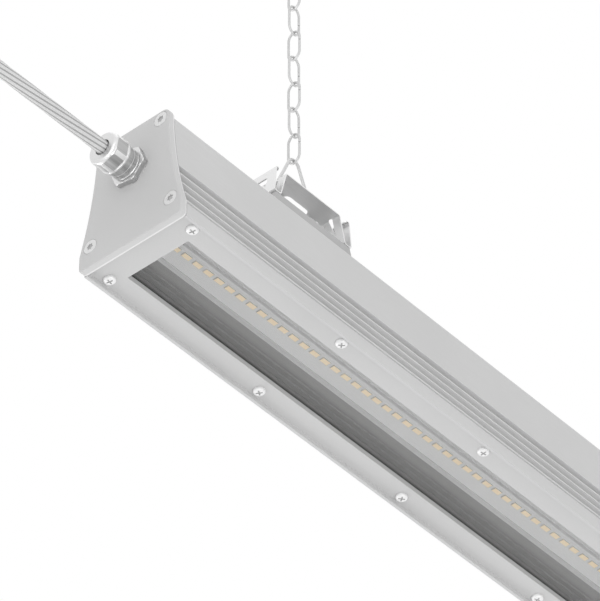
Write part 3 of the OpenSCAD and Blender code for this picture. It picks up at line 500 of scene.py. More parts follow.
def spun(profile: Sequence, limit: Optional[Callable] = None, sides: int = 72) -> np.ndarray:
    """Rings about the X axis: (place, r cos a, r sin a).

    Args:
        profile: (place along X, radius or one radius for each angle).
        limit: gives the largest radius at each angle and place, as for flats.
        sides: points round.

    Returns:
        (n, sides, 3) points.
    """
    ang = round_angles(sides)
    place = np.array([p for p, _ in profile], float)[:, None]
    r = np.stack([np.broadcast_to(np.asarray(v, float), (sides,)) for _, v in profile])
    if limit is not None:
        r = np.minimum(r, limit(ang[None, :], place))
    return np.stack([np.repeat(place, sides, 1), r * np.cos(ang), r * np.sin(ang)], -1)


def flats(across: float, turn: float, soft: float) -> Callable:
    """Gives the largest radius of a hexagon at an angle.

    Args:
        across: distance across its flats.
        turn: angle of one flat in degrees.
        soft: how much is taken off its corners.

    Returns:
        A limit for spun.
    """

    def limit(ang: np.ndarray, place: np.ndarray) -> np.ndarray:
        """The smaller of half across / cos(angle to the flat) and the softened corner.

        Args:
            ang: angles round the piece.
            place: places along it, which only give the answer its rows.

        Returns:
            A radius for every place and angle.
        """
        step = FULL_TURN / 6
        local = (ang - np.radians(turn) + step / 2) % step - step / 2
        r = across / 2 / np.cos(local)
        return np.minimum(r, across / 2 / np.cos(step / 2) - soft) + 0 * place

    return limit


def grooved(
    radius: float, span: tuple, ease: float, depth: float, count: int, share: float
) -> Callable:
    """Gives the largest radius of a grip with lengthwise grooves.

    Args:
        radius: of the grip.
        span: where the grooves start and end.
        ease: length over which they come to their depth.
        depth: of the grooves.
        count: of the grooves.
        share: a groove lies where cos(count * angle) is more than this.

    Returns:
        A limit for spun.
    """

    def limit(ang: np.ndarray, place: np.ndarray) -> np.ndarray:
        """The radius less the eased depth, where a groove lies."""
        mid = np.clip(np.minimum(place - span[0], span[1] - place) / ease, 0, 1)
        return radius - depth * mid * (np.cos(count * ang) > share)

    return limit


# --------------------------------------------------------------------------- finishes

# lines 17 mm long and 0.7 mm apart, coarser than real drawing marks so that they show
ALONG = (60.0, 1500.0, 1500.0)
BOARD_GRAIN = (500, 1500, 500)  # the laminate's weave, 2 by 0.7 mm


def srgb(code: str) -> tuple:
    """Linear colour of an sRGB hex code; two digits give a grey.

    Args:
        code: two or six hex digits.

    Returns:
        Red, green, blue and 1.
    """
    code = code * 3 if len(code) == 2 else code
    c = np.array([int(code[i : i + 2], 16) / 255 for i in (0, 2, 4)])
    lin = np.where(c <= 0.04045, c / 12.92, ((c + 0.055) / 1.055) ** 2.4)
    return (*map(float, lin), 1.0)


def set_stops(ramp: bpy.types.Node, stops: Sequence) -> bpy.types.NodeSocket:
    """Gives a colour ramp its stops.

    Args:
        ramp: the ramp's node.
        stops: (position, sRGB hex) of each stop.

    Returns:
        The ramp's colour.
    """
    elements = ramp.color_ramp.elements
    for i, (position, shade) in enumerate(stops):
        stop = elements[i] if i < 2 else elements.new(position)
        stop.position, stop.color = position, srgb(shade)
    return ramp.outputs["Color"]


class Nodes:
    """Adds nodes to the tree of one material or world."""

    def __init__(self, owner: bpy.types.ID, shader: str = "Principled BSDF") -> None:
        """Keeps the owner, its tree and its shader."""
        owner.use_nodes = True
        self.owner, self.tree = owner, owner.node_tree
        self.shader = self.tree.nodes[shader]

    def add(self, kind: str, inputs: Optional[dict] = None, **settings: object) -> bpy.types.Node:
        """Adds a node with its settings and links.

        Args:
            kind: its type.
            inputs: a socket or a constant for each input, by its name or number.
            settings: its properties.

        Returns:
            The node.
        """
        node = self.tree.nodes.new(kind)
        for key, value in settings.items():
            setattr(node, key, value)
        for key, value in (inputs or {}).items():
            if isinstance(value, bpy.types.NodeSocket):
                self.tree.links.new(value, node.inputs[key])
            else:
                node.inputs[key].default_value = value
        return node

    def link(self, socket: bpy.types.NodeSocket, name: str) -> None:
        """Links a socket to an input of the shader."""
        self.tree.links.new(socket, self.shader.inputs[name])

    def set(self, **values: object) -> None:
        """Sets constant inputs of the shader by their names."""
        for key, value in values.items():
            self.shader.inputs[key.replace("_", " ")].default_value = value


@dataclass(frozen=True)
class Finish:
    """A finish whose colour and roughness drift with fine noise on Object coordinates.

    Attributes:
        name: the material's name.
        dark, light: sRGB hex of the two ends of its colour.
        rough, drift: roughness and how far it drifts.
        metal: 1 for bare metal.
        grain: noise scale in 1/m, for all axes or along X, Y and Z; 900 is a mottle of 1.1 mm.
        relief: height of the fine relief in micrometres.
        round_edge: radius of the edges' soft shading in metres.
        coat: weight of a clear coat.
        specular: strength of the plain reflection.
        glow: strength of a painted glow in its light colour.
    """

    name: str
    dark: str
    light: str
    rough: float
    drift: float = 0.05
    metal: float = 0.0
    grain: object = 900
    relief: float = 4.0
    round_edge: float = 0.0
    coat: float = 0.0
    specular: float = 0.5
    glow: float = 0.0

    def material(self) -> bpy.types.Material:
        """Builds the material: noise drives colour, roughness and bump.

        Returns:
            The material.
        """
        n = Nodes(bpy.data.materials.new(self.name))
        place = n.add("ShaderNodeTexCoord").outputs["Object"]
        grain = np.broadcast_to(np.array(self.grain, float), 3).tolist()
        mapping = n.add("ShaderNodeMapping", {"Vector": place, "Scale": grain}).outputs[0]
        noise = n.add("ShaderNodeTexNoise", {
            "Vector": mapping, "Scale": 1.0, "Detail": 4.0, "Roughness": 0.6}).outputs["Fac"]
        cloud = n.add("ShaderNodeTexNoise", {"Vector": place, "Scale": 14.0, "Detail": 2.0})
        mix = n.add(
            "ShaderNodeMath", {0: noise, 1: cloud.outputs["Fac"], 2: 0.1}, operation="MULTIPLY_ADD")
        ramp = n.add("ShaderNodeValToRGB", {"Fac": mix.outputs[0]})
        n.link(set_stops(ramp, ((0.2, self.dark), (0.55, self.light))), "Base Color")
        gloss = n.add("ShaderNodeMapRange", {
            "Value": noise, "To Min": self.rough - self.drift, "To Max": self.rough + self.drift})
        n.link(gloss.outputs[0], "Roughness")
        relief = {"Height": noise, "Strength": 0.5, "Distance": self.relief * 1e-6}
        if self.round_edge:
            relief["Normal"] = n.add("ShaderNodeBevel", {"Radius": self.round_edge}).outputs[0]
        n.link(n.add("ShaderNodeBump", relief).outputs[0], "Normal")
        n.set(Metallic=self.metal, Coat_Weight=self.coat, Specular_IOR_Level=self.specular)
        if self.glow:
            n.set(Emission_Color=srgb(self.light), Emission_Strength=self.glow)
        return n.owner


@dataclass(frozen=True)
class Clear:
    """A clear material through which light passes straight on.

    Attributes:
        name: the material's name.
        tint: sRGB hex of the little that it does not let through.
        veil: share of the light that it stops at each face.
        rough, drift: roughness and how far fine streaks change it.
        streaks: scale of the streaks in 1/m: 33 mm long and 2.5 mm wide.
    """

    name: str
    tint: str
    veil: float
    rough: float
    drift: float
    streaks: tuple = (30.0, 400.0, 400.0)

    def material(self) -> bpy.types.Material:
        """Builds the material: a low alpha on the shader, and faint streaks in the roughness.

        Returns:
            The material.
        """
        n = Nodes(bpy.data.materials.new(self.name))
        place = n.add("ShaderNodeTexCoord").outputs["Object"]
        mapping = n.add("ShaderNodeMapping", {"Vector": place, "Scale": self.streaks}).outputs[0]
        noise = n.add("ShaderNodeTexNoise", {"Vector": mapping, "Scale": 1.0, "Detail": 2.0})
        gloss = n.add("ShaderNodeMapRange", {
            "Value": noise.outputs["Fac"],
            "To Min": self.rough - self.drift, "To Max": self.rough + self.drift})
        n.link(gloss.outputs[0], "Roughness")
        n.set(Base_Color=srgb(self.tint), Alpha=self.veil, IOR=1.5)
        return n.owner


@dataclass(frozen=True)
class ChamberWall:
    """Dull inner wall of the light chamber, with painted shade: darker towards the glass.

    Attributes:
        name: the material's name.
        shades: (share of the height, sRGB hex) from the foot to the top of the wall.
        foot, top: their heights in the shared frame in metres.
    """

    name: str = "inner wall with painted shade"
    shades: tuple = ((0.0, "60"), (0.1, "8C"), (0.72, "92"), (0.95, "A8"))
    foot: float = -0.3430
    top: float = -0.3215

    def material(self) -> bpy.types.Material:
        """Builds the material: a ramp of painted shade over height, broken by fine noise drawn out
        along X.

        Returns:
            The material.
        """
        n = Nodes(bpy.data.materials.new(self.name))
        place = n.add("ShaderNodeTexCoord").outputs["Object"]
        height = n.add("ShaderNodeSeparateXYZ", {"Vector": place}).outputs["Z"]
        span = n.add(
            "ShaderNodeMapRange", {"Value": height, "From Min": self.foot, "From Max": self.top})
        mapping = n.add("ShaderNodeMapping", {"Vector": place, "Scale": ALONG}).outputs[0]
        noise = n.add("ShaderNodeTexNoise", {"Vector": mapping, "Scale": 1.0, "Detail": 3.0})
        mix = n.add(
            "ShaderNodeMath", {0: noise.outputs["Fac"], 1: 0.02, 2: span.outputs[0]},
            operation="MULTIPLY_ADD")
        ramp = n.add("ShaderNodeValToRGB", {"Fac": mix.outputs[0]})
        n.link(set_stops(ramp, self.shades), "Base Color")
        n.set(Roughness=0.6, Specular_IOR_Level=0.3)
        return n.owner


class Surface(Enum):
    """The finishes of the light, by the thing that they cover."""

    # drawn and anodised: an even satin sheen with faint lines along the light
    HOUSING = Finish(
        "satin anodised aluminium", "C6", "CC", 0.55, 0.04, grain=ALONG, relief=1.5, specular=0.4)
    # painted highlight: the same, painted lighter where the section stands out and catches more
    # light
    RIDGE = Finish("anodised ridges", "CD", "D3", 0.55, 0.04, grain=ALONG, relief=1.5, specular=0.4)
    # painted light: the web is painted lighter than the housing, to lift the shade between the
    # rails
    WEB = Finish("anodised web", "D0", "D8", 0.55, 0.04, grain=ALONG, relief=1.5, specular=0.4)
    # painted light: the rails are painted the brightest, to lift the shade in the chamber's top
    RAIL = Finish(
        "bright anodised rails", "E6", "EC", 0.5, 0.04, grain=ALONG, relief=1.5, specular=0.4)
    # painted shade: it sinks into grey towards the glass, where the chamber is unlit
    INNER_WALL = ChamberWall()
    # sprayed and baked powder: dull and even, with a fine peel of 0.6 mm
    CAP = Finish("fine grey powder coat", "C6", "CC", 0.6, 0.04, grain=1600, specular=0.4)
    # painted light: the same powder, painted a shade lighter on the rim
    CAP_RIM = Finish(
        "powder coat on the cap's rim", "C9", "CF", 0.6, 0.04, grain=1600, specular=0.4)
    # painted highlight: a bright line along the chamfer at the cap's back edge
    CHAMFER_HIGHLIGHT = Finish("painted highlight on the chamfer", "DE", "E6", 0.45, 0.04)
    # sprayed and baked powder, a shade darker than the cap, with a peel of 0.7 mm
    FRAME = Finish("pale grey powder coat", "C4", "CA", 0.55, 0.04, grain=1400, specular=0.4)
    # cold headed and passivated: pale heads with soft reflections
    CAP_SCREW = Finish("pale stainless cap screw", "DA", "E0", 0.45, metal=0.2)
    FRAME_SCREW = Finish("pale passivated screw", "EA", "F0", 0.35, metal=0.1)
    # punched, and too deep for the light: a darker star or cross
    RECESS = Finish("shaded drive recess", "B4", "BC", 0.6)
    # plain turned steel: soft grey reflections and rounded edges
    STEEL_SCREW = Finish(
        "plain stainless steel", "BD", "CB", 0.38, metal=1.0, relief=10.0, round_edge=0.0002)
    # turned brass under nickel: broad soft bands of light round the collar
    NICKEL = Finish("polished nickel plating", "DA", "E2", 0.36, 0.04, 1.0, 500, 0.0)
    # painted reflections: light and dark bands on the flats and the collar, 3 mm wide so that they
    # show
    NICKEL_FLAT = Finish("nickel flats with painted reflections", "98", "F4", 0.34, 0.05, 1.0, (12, 340, 340), 0.0)
    # painted reflection: darker than the nickel elsewhere, with streaks 1.4 mm wide along the gland
    NICKEL_HEX = Finish("nickel hexagon darkened by painted reflection", "B8", "CA", 0.36, 0.05, 1.0, (40, 700, 700), 0.0)
    # moulded plastic: a dull grey with an eroded grain of 0.6 mm
    BLOCK = Finish("fine grained grey plastic", "B0", "B8", 0.6, grain=1800, relief=10.0)
    # cold rolled strip: bright, with hair lines drawn 0.4 mm apart so that they show
    SPRING = Finish(
        "bright rolled spring steel", "E4", "EC", 0.32, 0.04, 0.75, (90, 2500, 2500), 3.0)
    # drawn and plated wire: smooth and pale, with one clean light along each bend
    CHAIN = Finish("bright zinc plated wire", "C6", "D2", 0.4, 0.04, 0.35, 300, 0.0)
    # burnt by the weld and ground: a short dull dark band
    SEAM = Finish("ground weld seam", "8A", "96", 0.5, metal=0.6)
    # zinc plated sheet: plain grey with a faint spangle of 2.5 mm
    CEILING = Finish(
        "zinc plated steel plate", "B8B9BA", "C6C7C8", 0.36, 0.06, 1.0, 400, 10.0, 0.0005)
    # polished sheet: seen by a faint veil and its ground edges
    GLASS = Clear("clear toughened glass", "CA", 0.02, 0.04, 0.02)
    # screen printed lacquer: clean white with a little gloss
    BOARD = Finish("white solder lacquer", "EE", "F4", 0.4, 0.04, grain=BOARD_GRAIN, coat=0.2)
    # tinned in a bath: a flat pale strip, partly its own tin and partly painted light that lifts
    # the shade between the packages
    LAND = Finish("tinned copper land", "E8", "EE", 0.45, 0.04, grain=BOARD_GRAIN)
    # moulded white plastic: a pale rim round each light
    PACKAGE = Finish("white package body", "D8D6D0", "E2E0DA", 0.45, grain=1500)
    # cast resin full of phosphor: warm cream, with a painted glow that adds a little light
    PHOSPHOR = Finish("warm phosphor resin", "F4E2C4", "FCECD0", 0.35, grain=1500, glow=0.14)
    # moulded plastics of the hidden gear: plain, dull and softly rounded
    DRIVER = Finish(
        "plain white driver case", "D6D6D4", "E0E0DE", 0.55, relief=20.0, round_edge=0.0008)
    TERMINAL = Finish(
        "ivory terminal plastic", "D9D3BE", "E3DDC9", 0.45, relief=20.0, round_edge=0.0004)
    # extruded insulation: strong even colour with a low gloss
    CORE = Finish("blue core insulation", "1F4E9B", "2A5BA8", 0.45, relief=10.0)
    FEED = Finish("red core insulation", "9B1F1F", "A82A2A", 0.45, relief=10.0)
    # moulded rubber: nearly black and dull, with a grain of 1.4 mm
    RUBBER = Finish("soft black rubber", "16", "20", 0.7, grain=700, relief=30.0)
    # extruded over the twisted cores: pale ribs, with painted shade in the dark lines between them
    SHEATH = Finish("ribbed grey cable sheath", "D0", "D6", 0.42, grain=300, relief=0.0)
    GROOVE = Finish("shaded sheath groove", "9A", "A0", 0.5, grain=300, relief=0.0)
    # moulded plastic: black with a low gloss and a grain of 0.7 mm
    CONNECTOR = Finish(
        "black connector plastic", "1E1E20", "28282A", 0.5, 0.06, grain=1500, relief=20.0)


class Palette:
    """Makes each finish once, when it is first asked for."""

    def __init__(self) -> None:
        """Starts with no material made."""
        self.made: dict = {}

    def __getitem__(self, surface: Surface) -> bpy.types.Material:
        """The material of a finish.

        Args:
            surface: the finish.

        Returns:
            Its material, the same one each time.
        """
        if surface not in self.made:
            self.made[surface] = surface.value.material()
        return self.made[surface]


# --------------------------------------------------------------------------- camera and light


@dataclass(frozen=True)
class Studio:
    """Camera, lamps, floor and world; places are in the light's millimetres.

    Attributes:
        eye: the camera's place.
        forward: where it looks.
        lens: its lens for a 36 mm wide sensor.
        clip: nearest and furthest distance that it sees, in metres.
        ambient: the world's strength as a light.
        floor_height, floor_reach: the floor's height, and its reach to each side.
        lamps: name, place, aim, size in metres and watts of each soft square lamp.
    """

    eye: tuple = (-1446.34, -1395.26, -1860.60)
    forward: tuple = (0.55701, 0.48917, 0.67116)
    lens: float = 298.6
    clip: tuple = (0.05, 300.0)
    ambient: float = 0.72
    floor_height: float = -25000.0
    floor_reach: float = 40000.0
    lamps: tuple = (
        ("left_low_lamp", (300, 2900, -1300), (350, 0, 30), 2.0, 32.4),
        ("side_lamp", (300, -3000, 100), (350, 0, 50), 3.0, 11.3),
        ("end_lamp", (-3000, -300, 100), (0, 0, 50), 2.6, 24.9),
        ("far_end_lamp", (4200, 300, 100), (1160, 0, 50), 2.6, 24.9),
        ("low_lamp", (200, -1500, -2600), (400, 0, 30), 2.4, 28.8),
        ("top_lamp", (300, -300, 3000), (350, 0, 60), 3.0, 10.0),
    )

    def camera(self) -> None:
        """Places the camera by its forward, right and up directions."""
        f = np.array(self.forward)
        f /= np.linalg.norm(f)
        right = np.array([f[1], -f[0], 0.0])
        right /= np.linalg.norm(right)
        data = bpy.data.cameras.new("camera")
        data.lens, data.sensor_width, data.sensor_fit = self.lens, 36.0, "HORIZONTAL"
        data.clip_start, data.clip_end = self.clip
        obj = bpy.data.objects.new("camera", data)
        bpy.context.collection.objects.link(obj)
        m = np.eye(4)
        m[:3] = np.column_stack([right, np.cross(right, f), -f, to_row(self.eye)])
        obj.matrix_world = Matrix(m.tolist())
        bpy.context.scene.camera = obj

    def seen(self, n: Nodes) -> bpy.types.NodeSocket:
        """Tells the rays that see from the rays that light.

        Args:
            n: the tree that it is added to.

        Returns:
            1 for rays of the camera, of mirrors and through glass, and 0 for the others.
        """
        rays = n.add("ShaderNodeLightPath").outputs
        share = rays["Is Camera Ray"]
        for other in ("Is Transmission Ray", "Is Glossy Ray"):
            both = n.add("ShaderNodeMath", {0: share, 1: rays[other]}, operation="MAXIMUM")
            share = both.outputs[0]
        return share

    def world(self) -> None:
        """A white world: white to the camera and to mirrors, a softer white as a light."""
        world = bpy.data.worlds.new("studio")
        bpy.context.scene.world = world
        n = Nodes(world, "Background")
        n.set(Color=(1, 1, 1, 1))
        span = {"Value": self.seen(n), "To Min": self.ambient, "To Max": 1.0}
        n.link(n.add("ShaderNodeMapRange", span).outputs[0], "Strength")

    def floor(self) -> None:
        """A plain pale floor, so far below the light that views from below stay free of it.

        What the camera sees of it is brought up to white by a glow of 1 - 0.9 * ambient.
        """
        x = np.array([-self.floor_reach, self.floor_reach])
        gx, gy = np.meshgrid(x, x, indexing="ij")
        pts = np.stack([gx, gy, np.full_like(gx, self.floor_height)], -1)
        n = Nodes(bpy.data.materials.new("pale studio floor"))
        place = n.add("ShaderNodeTexCoord").outputs["Object"]
        noise = n.add("ShaderNodeTexNoise", {"Vector": place, "Scale": 6.0})
        ramp = n.add("ShaderNodeValToRGB", {"Fac": noise.outputs["Fac"]})
        n.link(set_stops(ramp, ((0.0, "F6"), (1.0, "FA"))), "Base Color")
        lift = {0: self.seen(n), 1: 1.0 - 0.9 * self.ambient}
        n.link(n.add("ShaderNodeMath", lift, operation="MULTIPLY").outputs[0], "Emission Strength")
        n.set(Roughness=0.9, Emission_Color=(1.0, 1.0, 1.0, 1.0), Specular_IOR_Level=0.0)
        shape = Shape().add(pts, grid_quads(2, 2)[:, ::-1])
        make_piece("studio_floor", shape, [n.owner])

    def light(self) -> None:
        """Hangs each lamp at its place, turned to its aim."""
        for name, place, aim, size, watts in self.lamps:
            data = bpy.data.lights.new(name, "AREA")
            data.shape, data.size, data.energy = "SQUARE", size, watts
            obj = bpy.data.objects.new(name, data)
            bpy.context.collection.objects.link(obj)
            here, there = to_row(place), to_row(aim)
            turn = Vector(there - here).to_track_quat("-Z", "Y").to_matrix().to_4x4()
            obj.matrix_world = Matrix.Translation(here) @ turn


# --------------------------------------------------------------------------- sub-assemblies


@dataclass
class Assembly:
    """A part of the light that makes its own pieces.

    Attributes:
        palette: the finishes' materials.
    """

    palette: Palette

    def piece(
        self, name: str, shape: Shape, surfaces: Sequence, smooth: float, slot: str, node: str,
        body: str = "luminaire", row: bool = False,
    ) -> bpy.types.Object:
        """Makes a piece that rides on a body and stands for a node.

        Args:
            name: the piece's name.
            shape: its shape.
            surfaces: its finishes, by the shape's material numbers.
            smooth: as for make_piece.
            slot: the name of its finish slot; not used.
            node: the CAD node that it stands for.
            body: the body that it rides on.
            row: as for make_piece.

        Returns:
            The object.
        """
        obj = make_piece(name, shape, [self.palette[s] for s in surfaces], smooth, row)
        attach(obj, body)
        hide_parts(node)
        return obj


@dataclass
class PowerLead(Assembly):
    """The ribbed cable with its connector.

    Attributes:
        route: the middle line (x, z) in metres, as in the part's source.
        step: spacing of the points along the cable in metres.
        length, diameter: the cable's in metres.
        ribs: ribs round the sheath.
        steps: faces across a rib.
        groove: depth of the grooves between the ribs in metres.
        shaded: height within a rib, from 0 to 1, below which a face takes the groove's colour.
        lay: length over which a rib turns once round, in metres.
        end: where the connector hangs, in metres.
        pins: the connector's pins.
        pin_circle: radius of the circle that they stand on, in metres.
    """

    route: tuple = (
        (-0.132, -0.300), (-0.150, -0.300), (-0.175, -0.300), (-0.200, -0.300), (-0.225, -0.300),
        (-0.252, -0.300), (-0.264, -0.302), (-0.275, -0.306), (-0.284, -0.313), (-0.291, -0.322),
        (-0.2955, -0.333), (-0.297, -0.345), (-0.297, -0.365), (-0.297, -0.385), (-0.297, -0.405),
        (-0.297, -0.425), (-0.297, -0.445), (-0.297, -0.465), (-0.297, -0.485), (-0.297, -0.505),
        (-0.297, -0.530), (-0.297, -0.5562),
    )
    step: float = 0.0015
    length: float = 0.40
    diameter: float = 0.0085
    ribs: int = 10
    steps: int = 9
    groove: float = 0.00025
    shaded: float = 0.2
    lay: float = 0.30
    end: tuple = (-0.297, 0.0, -0.554)
    pins: int = 3
    pin_circle: float = 0.0036

    def smooth_route(self) -> np.ndarray:
        """Points along the route at an even step, eased by a moving average of nine points.

        Returns:
            (n, 3) points. Straight stretches stay straight, and the ends are kept.
        """
        r = np.array(self.route)
        s = way(r)
        u = np.linspace(0, s[-1], int(s[-1] / self.step) + 1)
        p = np.stack([np.interp(u, s, r[:, 0]), np.interp(u, s, r[:, 1])], 1)
        wide = 4  # points to each side that the average takes in
        pad = np.vstack([2 * p[0] - p[wide:0:-1], p, 2 * p[-1] - p[-2 : -wide - 2 : -1]])
        kernel = np.ones(2 * wide + 1) / (2 * wide + 1)
        q = np.stack([np.convolve(pad[:, i], kernel, "valid") for i in range(2)], 1)
        return np.column_stack([q[:, 0], np.zeros(len(q)), q[:, 1]])

    def sheath(self) -> Shape:
        """The sheath: rings about the middle line, with shallow grooves that wind about it.

        Each ring point is p + r (cos a * side + sin a * up), where side is Y, up is square to
        the line and a = b - 2 pi s / lay. The radius is R - groove (1 - crest)^1.5, where crest
        is (1 + cos(ribs b)) / 2.

        Returns:
            The shape, with the grooves' faces painted 1.
        """
        p = self.smooth_route()
        side = np.array([0.0, 1.0, 0.0])
        up = np.cross(unit(np.gradient(p, axis=0)), side)
        base = round_angles(self.ribs * self.steps)
        crest = 0.5 + 0.5 * np.cos(self.ribs * base)
        r = self.diameter / 2 - self.groove * (1 - crest) ** 1.5
        ang = (base[None] - FULL_TURN * way(p)[:, None] / self.lay)[..., None]
        rings = p[:, None] + r[None, :, None] * (np.cos(ang) * side + np.sin(ang) * up[:, None])
        shape = solid_rings(rings[:, ::-1])
        # painted shade: the faces low in each rib take the groove's darker colour
        low = ((crest + np.roll(crest, 1))[::-1] / 2 < self.shaded).astype(int)
        wall = np.tile(low, len(p) - 1)
        shape.paint[: len(wall)] = wall.tolist()
        return shape

    def hang(self, profile: Sequence, limit: Optional[Callable] = None) -> np.ndarray:
        """Rings about the cable's end: a profile in millimetres, measured downwards from it."""
        rings = spun(profile, limit, 96)[..., [1, 2, 0]] / 1000
        return rings * [1, 1, -1] + self.end

    def nut(self) -> Shape:
        """The ribbed clamping nut that the cable goes into."""
        profile = [
            (2.4, 3.0), (2.3, 4.5), (0.5, 4.6), (0.0, 5.0), (0.1, 6.4), (0.8, 7.6), (2.4, 9.3),
            (3.0, 9.5), (3.7, 9.5), (8, 9.5), (14.3, 9.5), (15.0, 9.5), (16.5, 9.5), (17.6, 9.3),
            (18.0, 8.9)]
        return solid_rings(self.hang(profile, grooved(9.5, (2.5, 15.5), 1.2, 0.45, 16, 0.2)))

    def socket(self) -> Shape:
        """The barred socket body, open below, with its round pins painted 1.

        Returns:
            The shape.
        """
        profile = [
            (18.0, 8.6), (18.4, 9.6), (19.2, 10.2), (20.5, 10.5), (22.0, 10.5), (23.5, 10.5),
            (29, 10.5), (34.5, 10.5), (36.0, 10.5), (37.5, 10.5), (38.0, 10.0), (39.0, 9.7),
            (52.0, 9.7), (54.2, 9.6), (54.8, 9.1), (55.0, 8.7), (55.0, 7.5), (54.6, 7.1),
            (54.0, 7.0), (42.2, 7.0), (42.0, 6.8)]
        shape = solid_rings(self.hang(profile, grooved(10.5, (22, 36), 1.5, 0.5, 12, 0)))
        pin = self.hang([(42.0, 1.0), (50.5, 1.0), (51.6, 0.8), (52.0, 0.3)])
        for a in round_angles(self.pins):
            there = self.pin_circle * np.array([np.cos(a), np.sin(a), 0])
            shape.join(solid_rings(pin + there), 1)
        return shape

    def build(self) -> None:
        cable = self.piece(
            "ribbed_cable", self.sheath(), [Surface.SHEATH, Surface.GROOVE], 60, "cable_sheath",
            "power_cable", row=True)
        nut = self.piece(
            "clamping_nut", self.nut(), [Surface.CONNECTOR], 30, "connector_plastic",
            "connector_nut", row=True)
        body = self.piece(
            "socket_body", self.socket(), [Surface.CONNECTOR, Surface.NICKEL], 30,
            "connector_plastic", "connector_body", row=True)
        route = self.smooth_route()
        LOG.info("cable length %.4f m", way(route)[-1])
        path = [tuple(map(float, q)) for q in route[:: max(1, len(route) // 30)]]
        last = tuple(map(float, route[-1]))
        if path[-1] != last:
            path.append(last)


@dataclass
class Housing(Assembly):
    """The extrusion with its end caps and cap screws.

    Attributes:
        groove_depth: depth of the side grooves.
        ridge: thickness of the ridges between them.
        ridges: the ridges' heights, from the top down.
        band: heights of the grooved band.
        wall: thickness of the chamber's wall behind the grooves.
        rail_foot: height above which the chamber's faces belong to its rails and web.
        roof_radius: rounding of the roof's edges.
        turns: how far each cap screw is turned, in degrees.
    """

    groove_depth: float = 5.0
    ridge: float = 1.0
    ridges: tuple = (35.8, 27.7, 19.6, 11.5)
    band: tuple = (11.0, 42.7)
    wall: float = 1.6
    rail_foot: float = 36.9
    roof_radius: float = 9.5
    turns: tuple = (20, 5, 40, 12)

    def side(self) -> tuple:
        """The right half of the outline, listed upwards, with its grooves.

        Each groove's floor lies groove_depth inside the hollow side, and the roof's edge is a
        quarter circle.

        Returns:
            Corner points (y, z) and their radii.
        """
        pts = [(LIP, 0.0), (FOOT, 0.0), (FOOT, 9.2), (37.3, 9.4), (37.3, self.band[0])]
        radii = [0.35, 0.5, 0.25, 0.3, 0.3]
        edges = [(r - self.ridge / 2, r + self.ridge / 2) for r in self.ridges[::-1]]
        tops = [low for low, _ in edges[1:]] + [self.band[1]]
        for (low, high), top in zip(edges, tops):
            tip, back, over = (float(half_width(z)) for z in (low, high, top))
            deep = self.groove_depth
            pts += [(tip, low), (back, high), (back - deep, high), (over - deep, top)]
            radii += [0.42, 0.42, 0.9, 0.9]
        shoulder = 77.5
        heights = np.linspace(self.band[1], shoulder, 22)
        pts += [(float(half_width(z)), float(z)) for z in heights]
        radii += [0.5] + [0.0] * (len(heights) - 1)
        r = self.roof_radius
        mid = float(half_width(shoulder)) - r
        arc = np.radians(np.linspace(0, 90, 12))[1:]
        pts += [(mid + r * np.cos(x), shoulder + r * np.sin(x)) for x in arc]
        return pts, radii + [0.0] * len(arc)

    def inner(self) -> tuple:
        """The right half of the light chamber, from the web down to the lip.

        Returns:
            Corner points (y, z) and their radii.
        """

        def wall(z: float) -> tuple:
            """The wall's point at height z."""
            return float(half_width(z)) - self.groove_depth - self.wall, z

        pts = [(6.6, 40.0), (6.6, 37.2), (9.4, 37.2), (9.4, 38.3), (8.8, 38.3), (8.8, 40.0)]
        pts += [(23.6, 40.0), (23.6, 38.3), (23.0, 38.3), (23.0, 37.2), wall(37.2)]
        radii = [0.3, 0.4, 0.3, 0.2, 0.0, 0.2, 0.2, 0.0, 0.2, 0.3, 0.3]
        for z in (28.4, 24.3, 20.6):
            high, low = wall(z + 0.6), wall(z - 0.6)
            pts += [high, (high[0] - 0.7, z + 0.3), (low[0] - 0.7, z - 0.3), low]
            radii += [0.3, 0.25, 0.25, 0.3]
        pts += [(29.4, 19.0), (26.6, 17.0), (26.3, 15.2), (26.3, 12.0), (25.0, 12.0), (25.0, 10.6)]
        pts += [(27.2, 10.6), (27.2, 6.6), (LIP, 6.6)]
        return pts, radii + [0.5, 1.5, 1.0, 0.3, 0.3, 0.2, 0.2, 0.2, 0.3]

    def outline(self) -> np.ndarray:
        """The whole closed section: up, over and down, then through the light chamber.

        Returns:
            The outline (y, z), anticlockwise.
        """
        out, out_r = self.side()
        low, low_r = self.inner()
        pts = out + [(-y, z) for y, z in out[::-1]] + [(-y, z) for y, z in low[::-1]] + low
        return rounded(pts, out_r + out_r[::-1] + low_r[::-1] + low_r, 4)

    def chamber(self) -> np.ndarray:
        """The closed upper chamber, anticlockwise, cut in round the screw ports' bosses.

        Returns:
            The outline (y, z).
        """
        z = np.linspace(46.4, 73.0, 8)
        wall = np.column_stack([half_width(z) - 2.2, z])
        a = np.radians(np.linspace(-70, -180, 7))
        boss = np.array(PORTS[0]) + 3.8 * np.column_stack([np.cos(a), np.sin(a)])
        return mirror_y(np.vstack([[[25.1, 42.5], [24.8, 44.9]], wall, boss, [[17.4, 84.5]]]))

    def extrusion(self) -> Shape:
        """The section carried straight from cap to cap, with its ports left open.

        Returns:
            The shape, painted 1 on the chamber's walls, 2 on its rails, 3 on its web and 4 on
            the grooved band.
        """
        ends = (CAP, LENGTH - CAP)
        ports = [((s * y, z), [(x, 2.1) for x in ends]) for s in (-1, 1) for y, z in PORTS]
        stations = [(x, 0.0) for x in ends]
        shape = prism(self.outline(), stations, [self.chamber()] + ports, along_x, 20)
        # painted shade on the chamber's walls
        shape.painted(self.in_chamber, 1)
        # painted light on the rails and the web
        shape.painted(lambda m: self.in_chamber(m) & (m[:, 2] >= self.rail_foot), 2)
        shape.painted(self.on_web, 3)
        # painted highlight on the grooved band
        return shape.painted(self.on_ridges, 4)

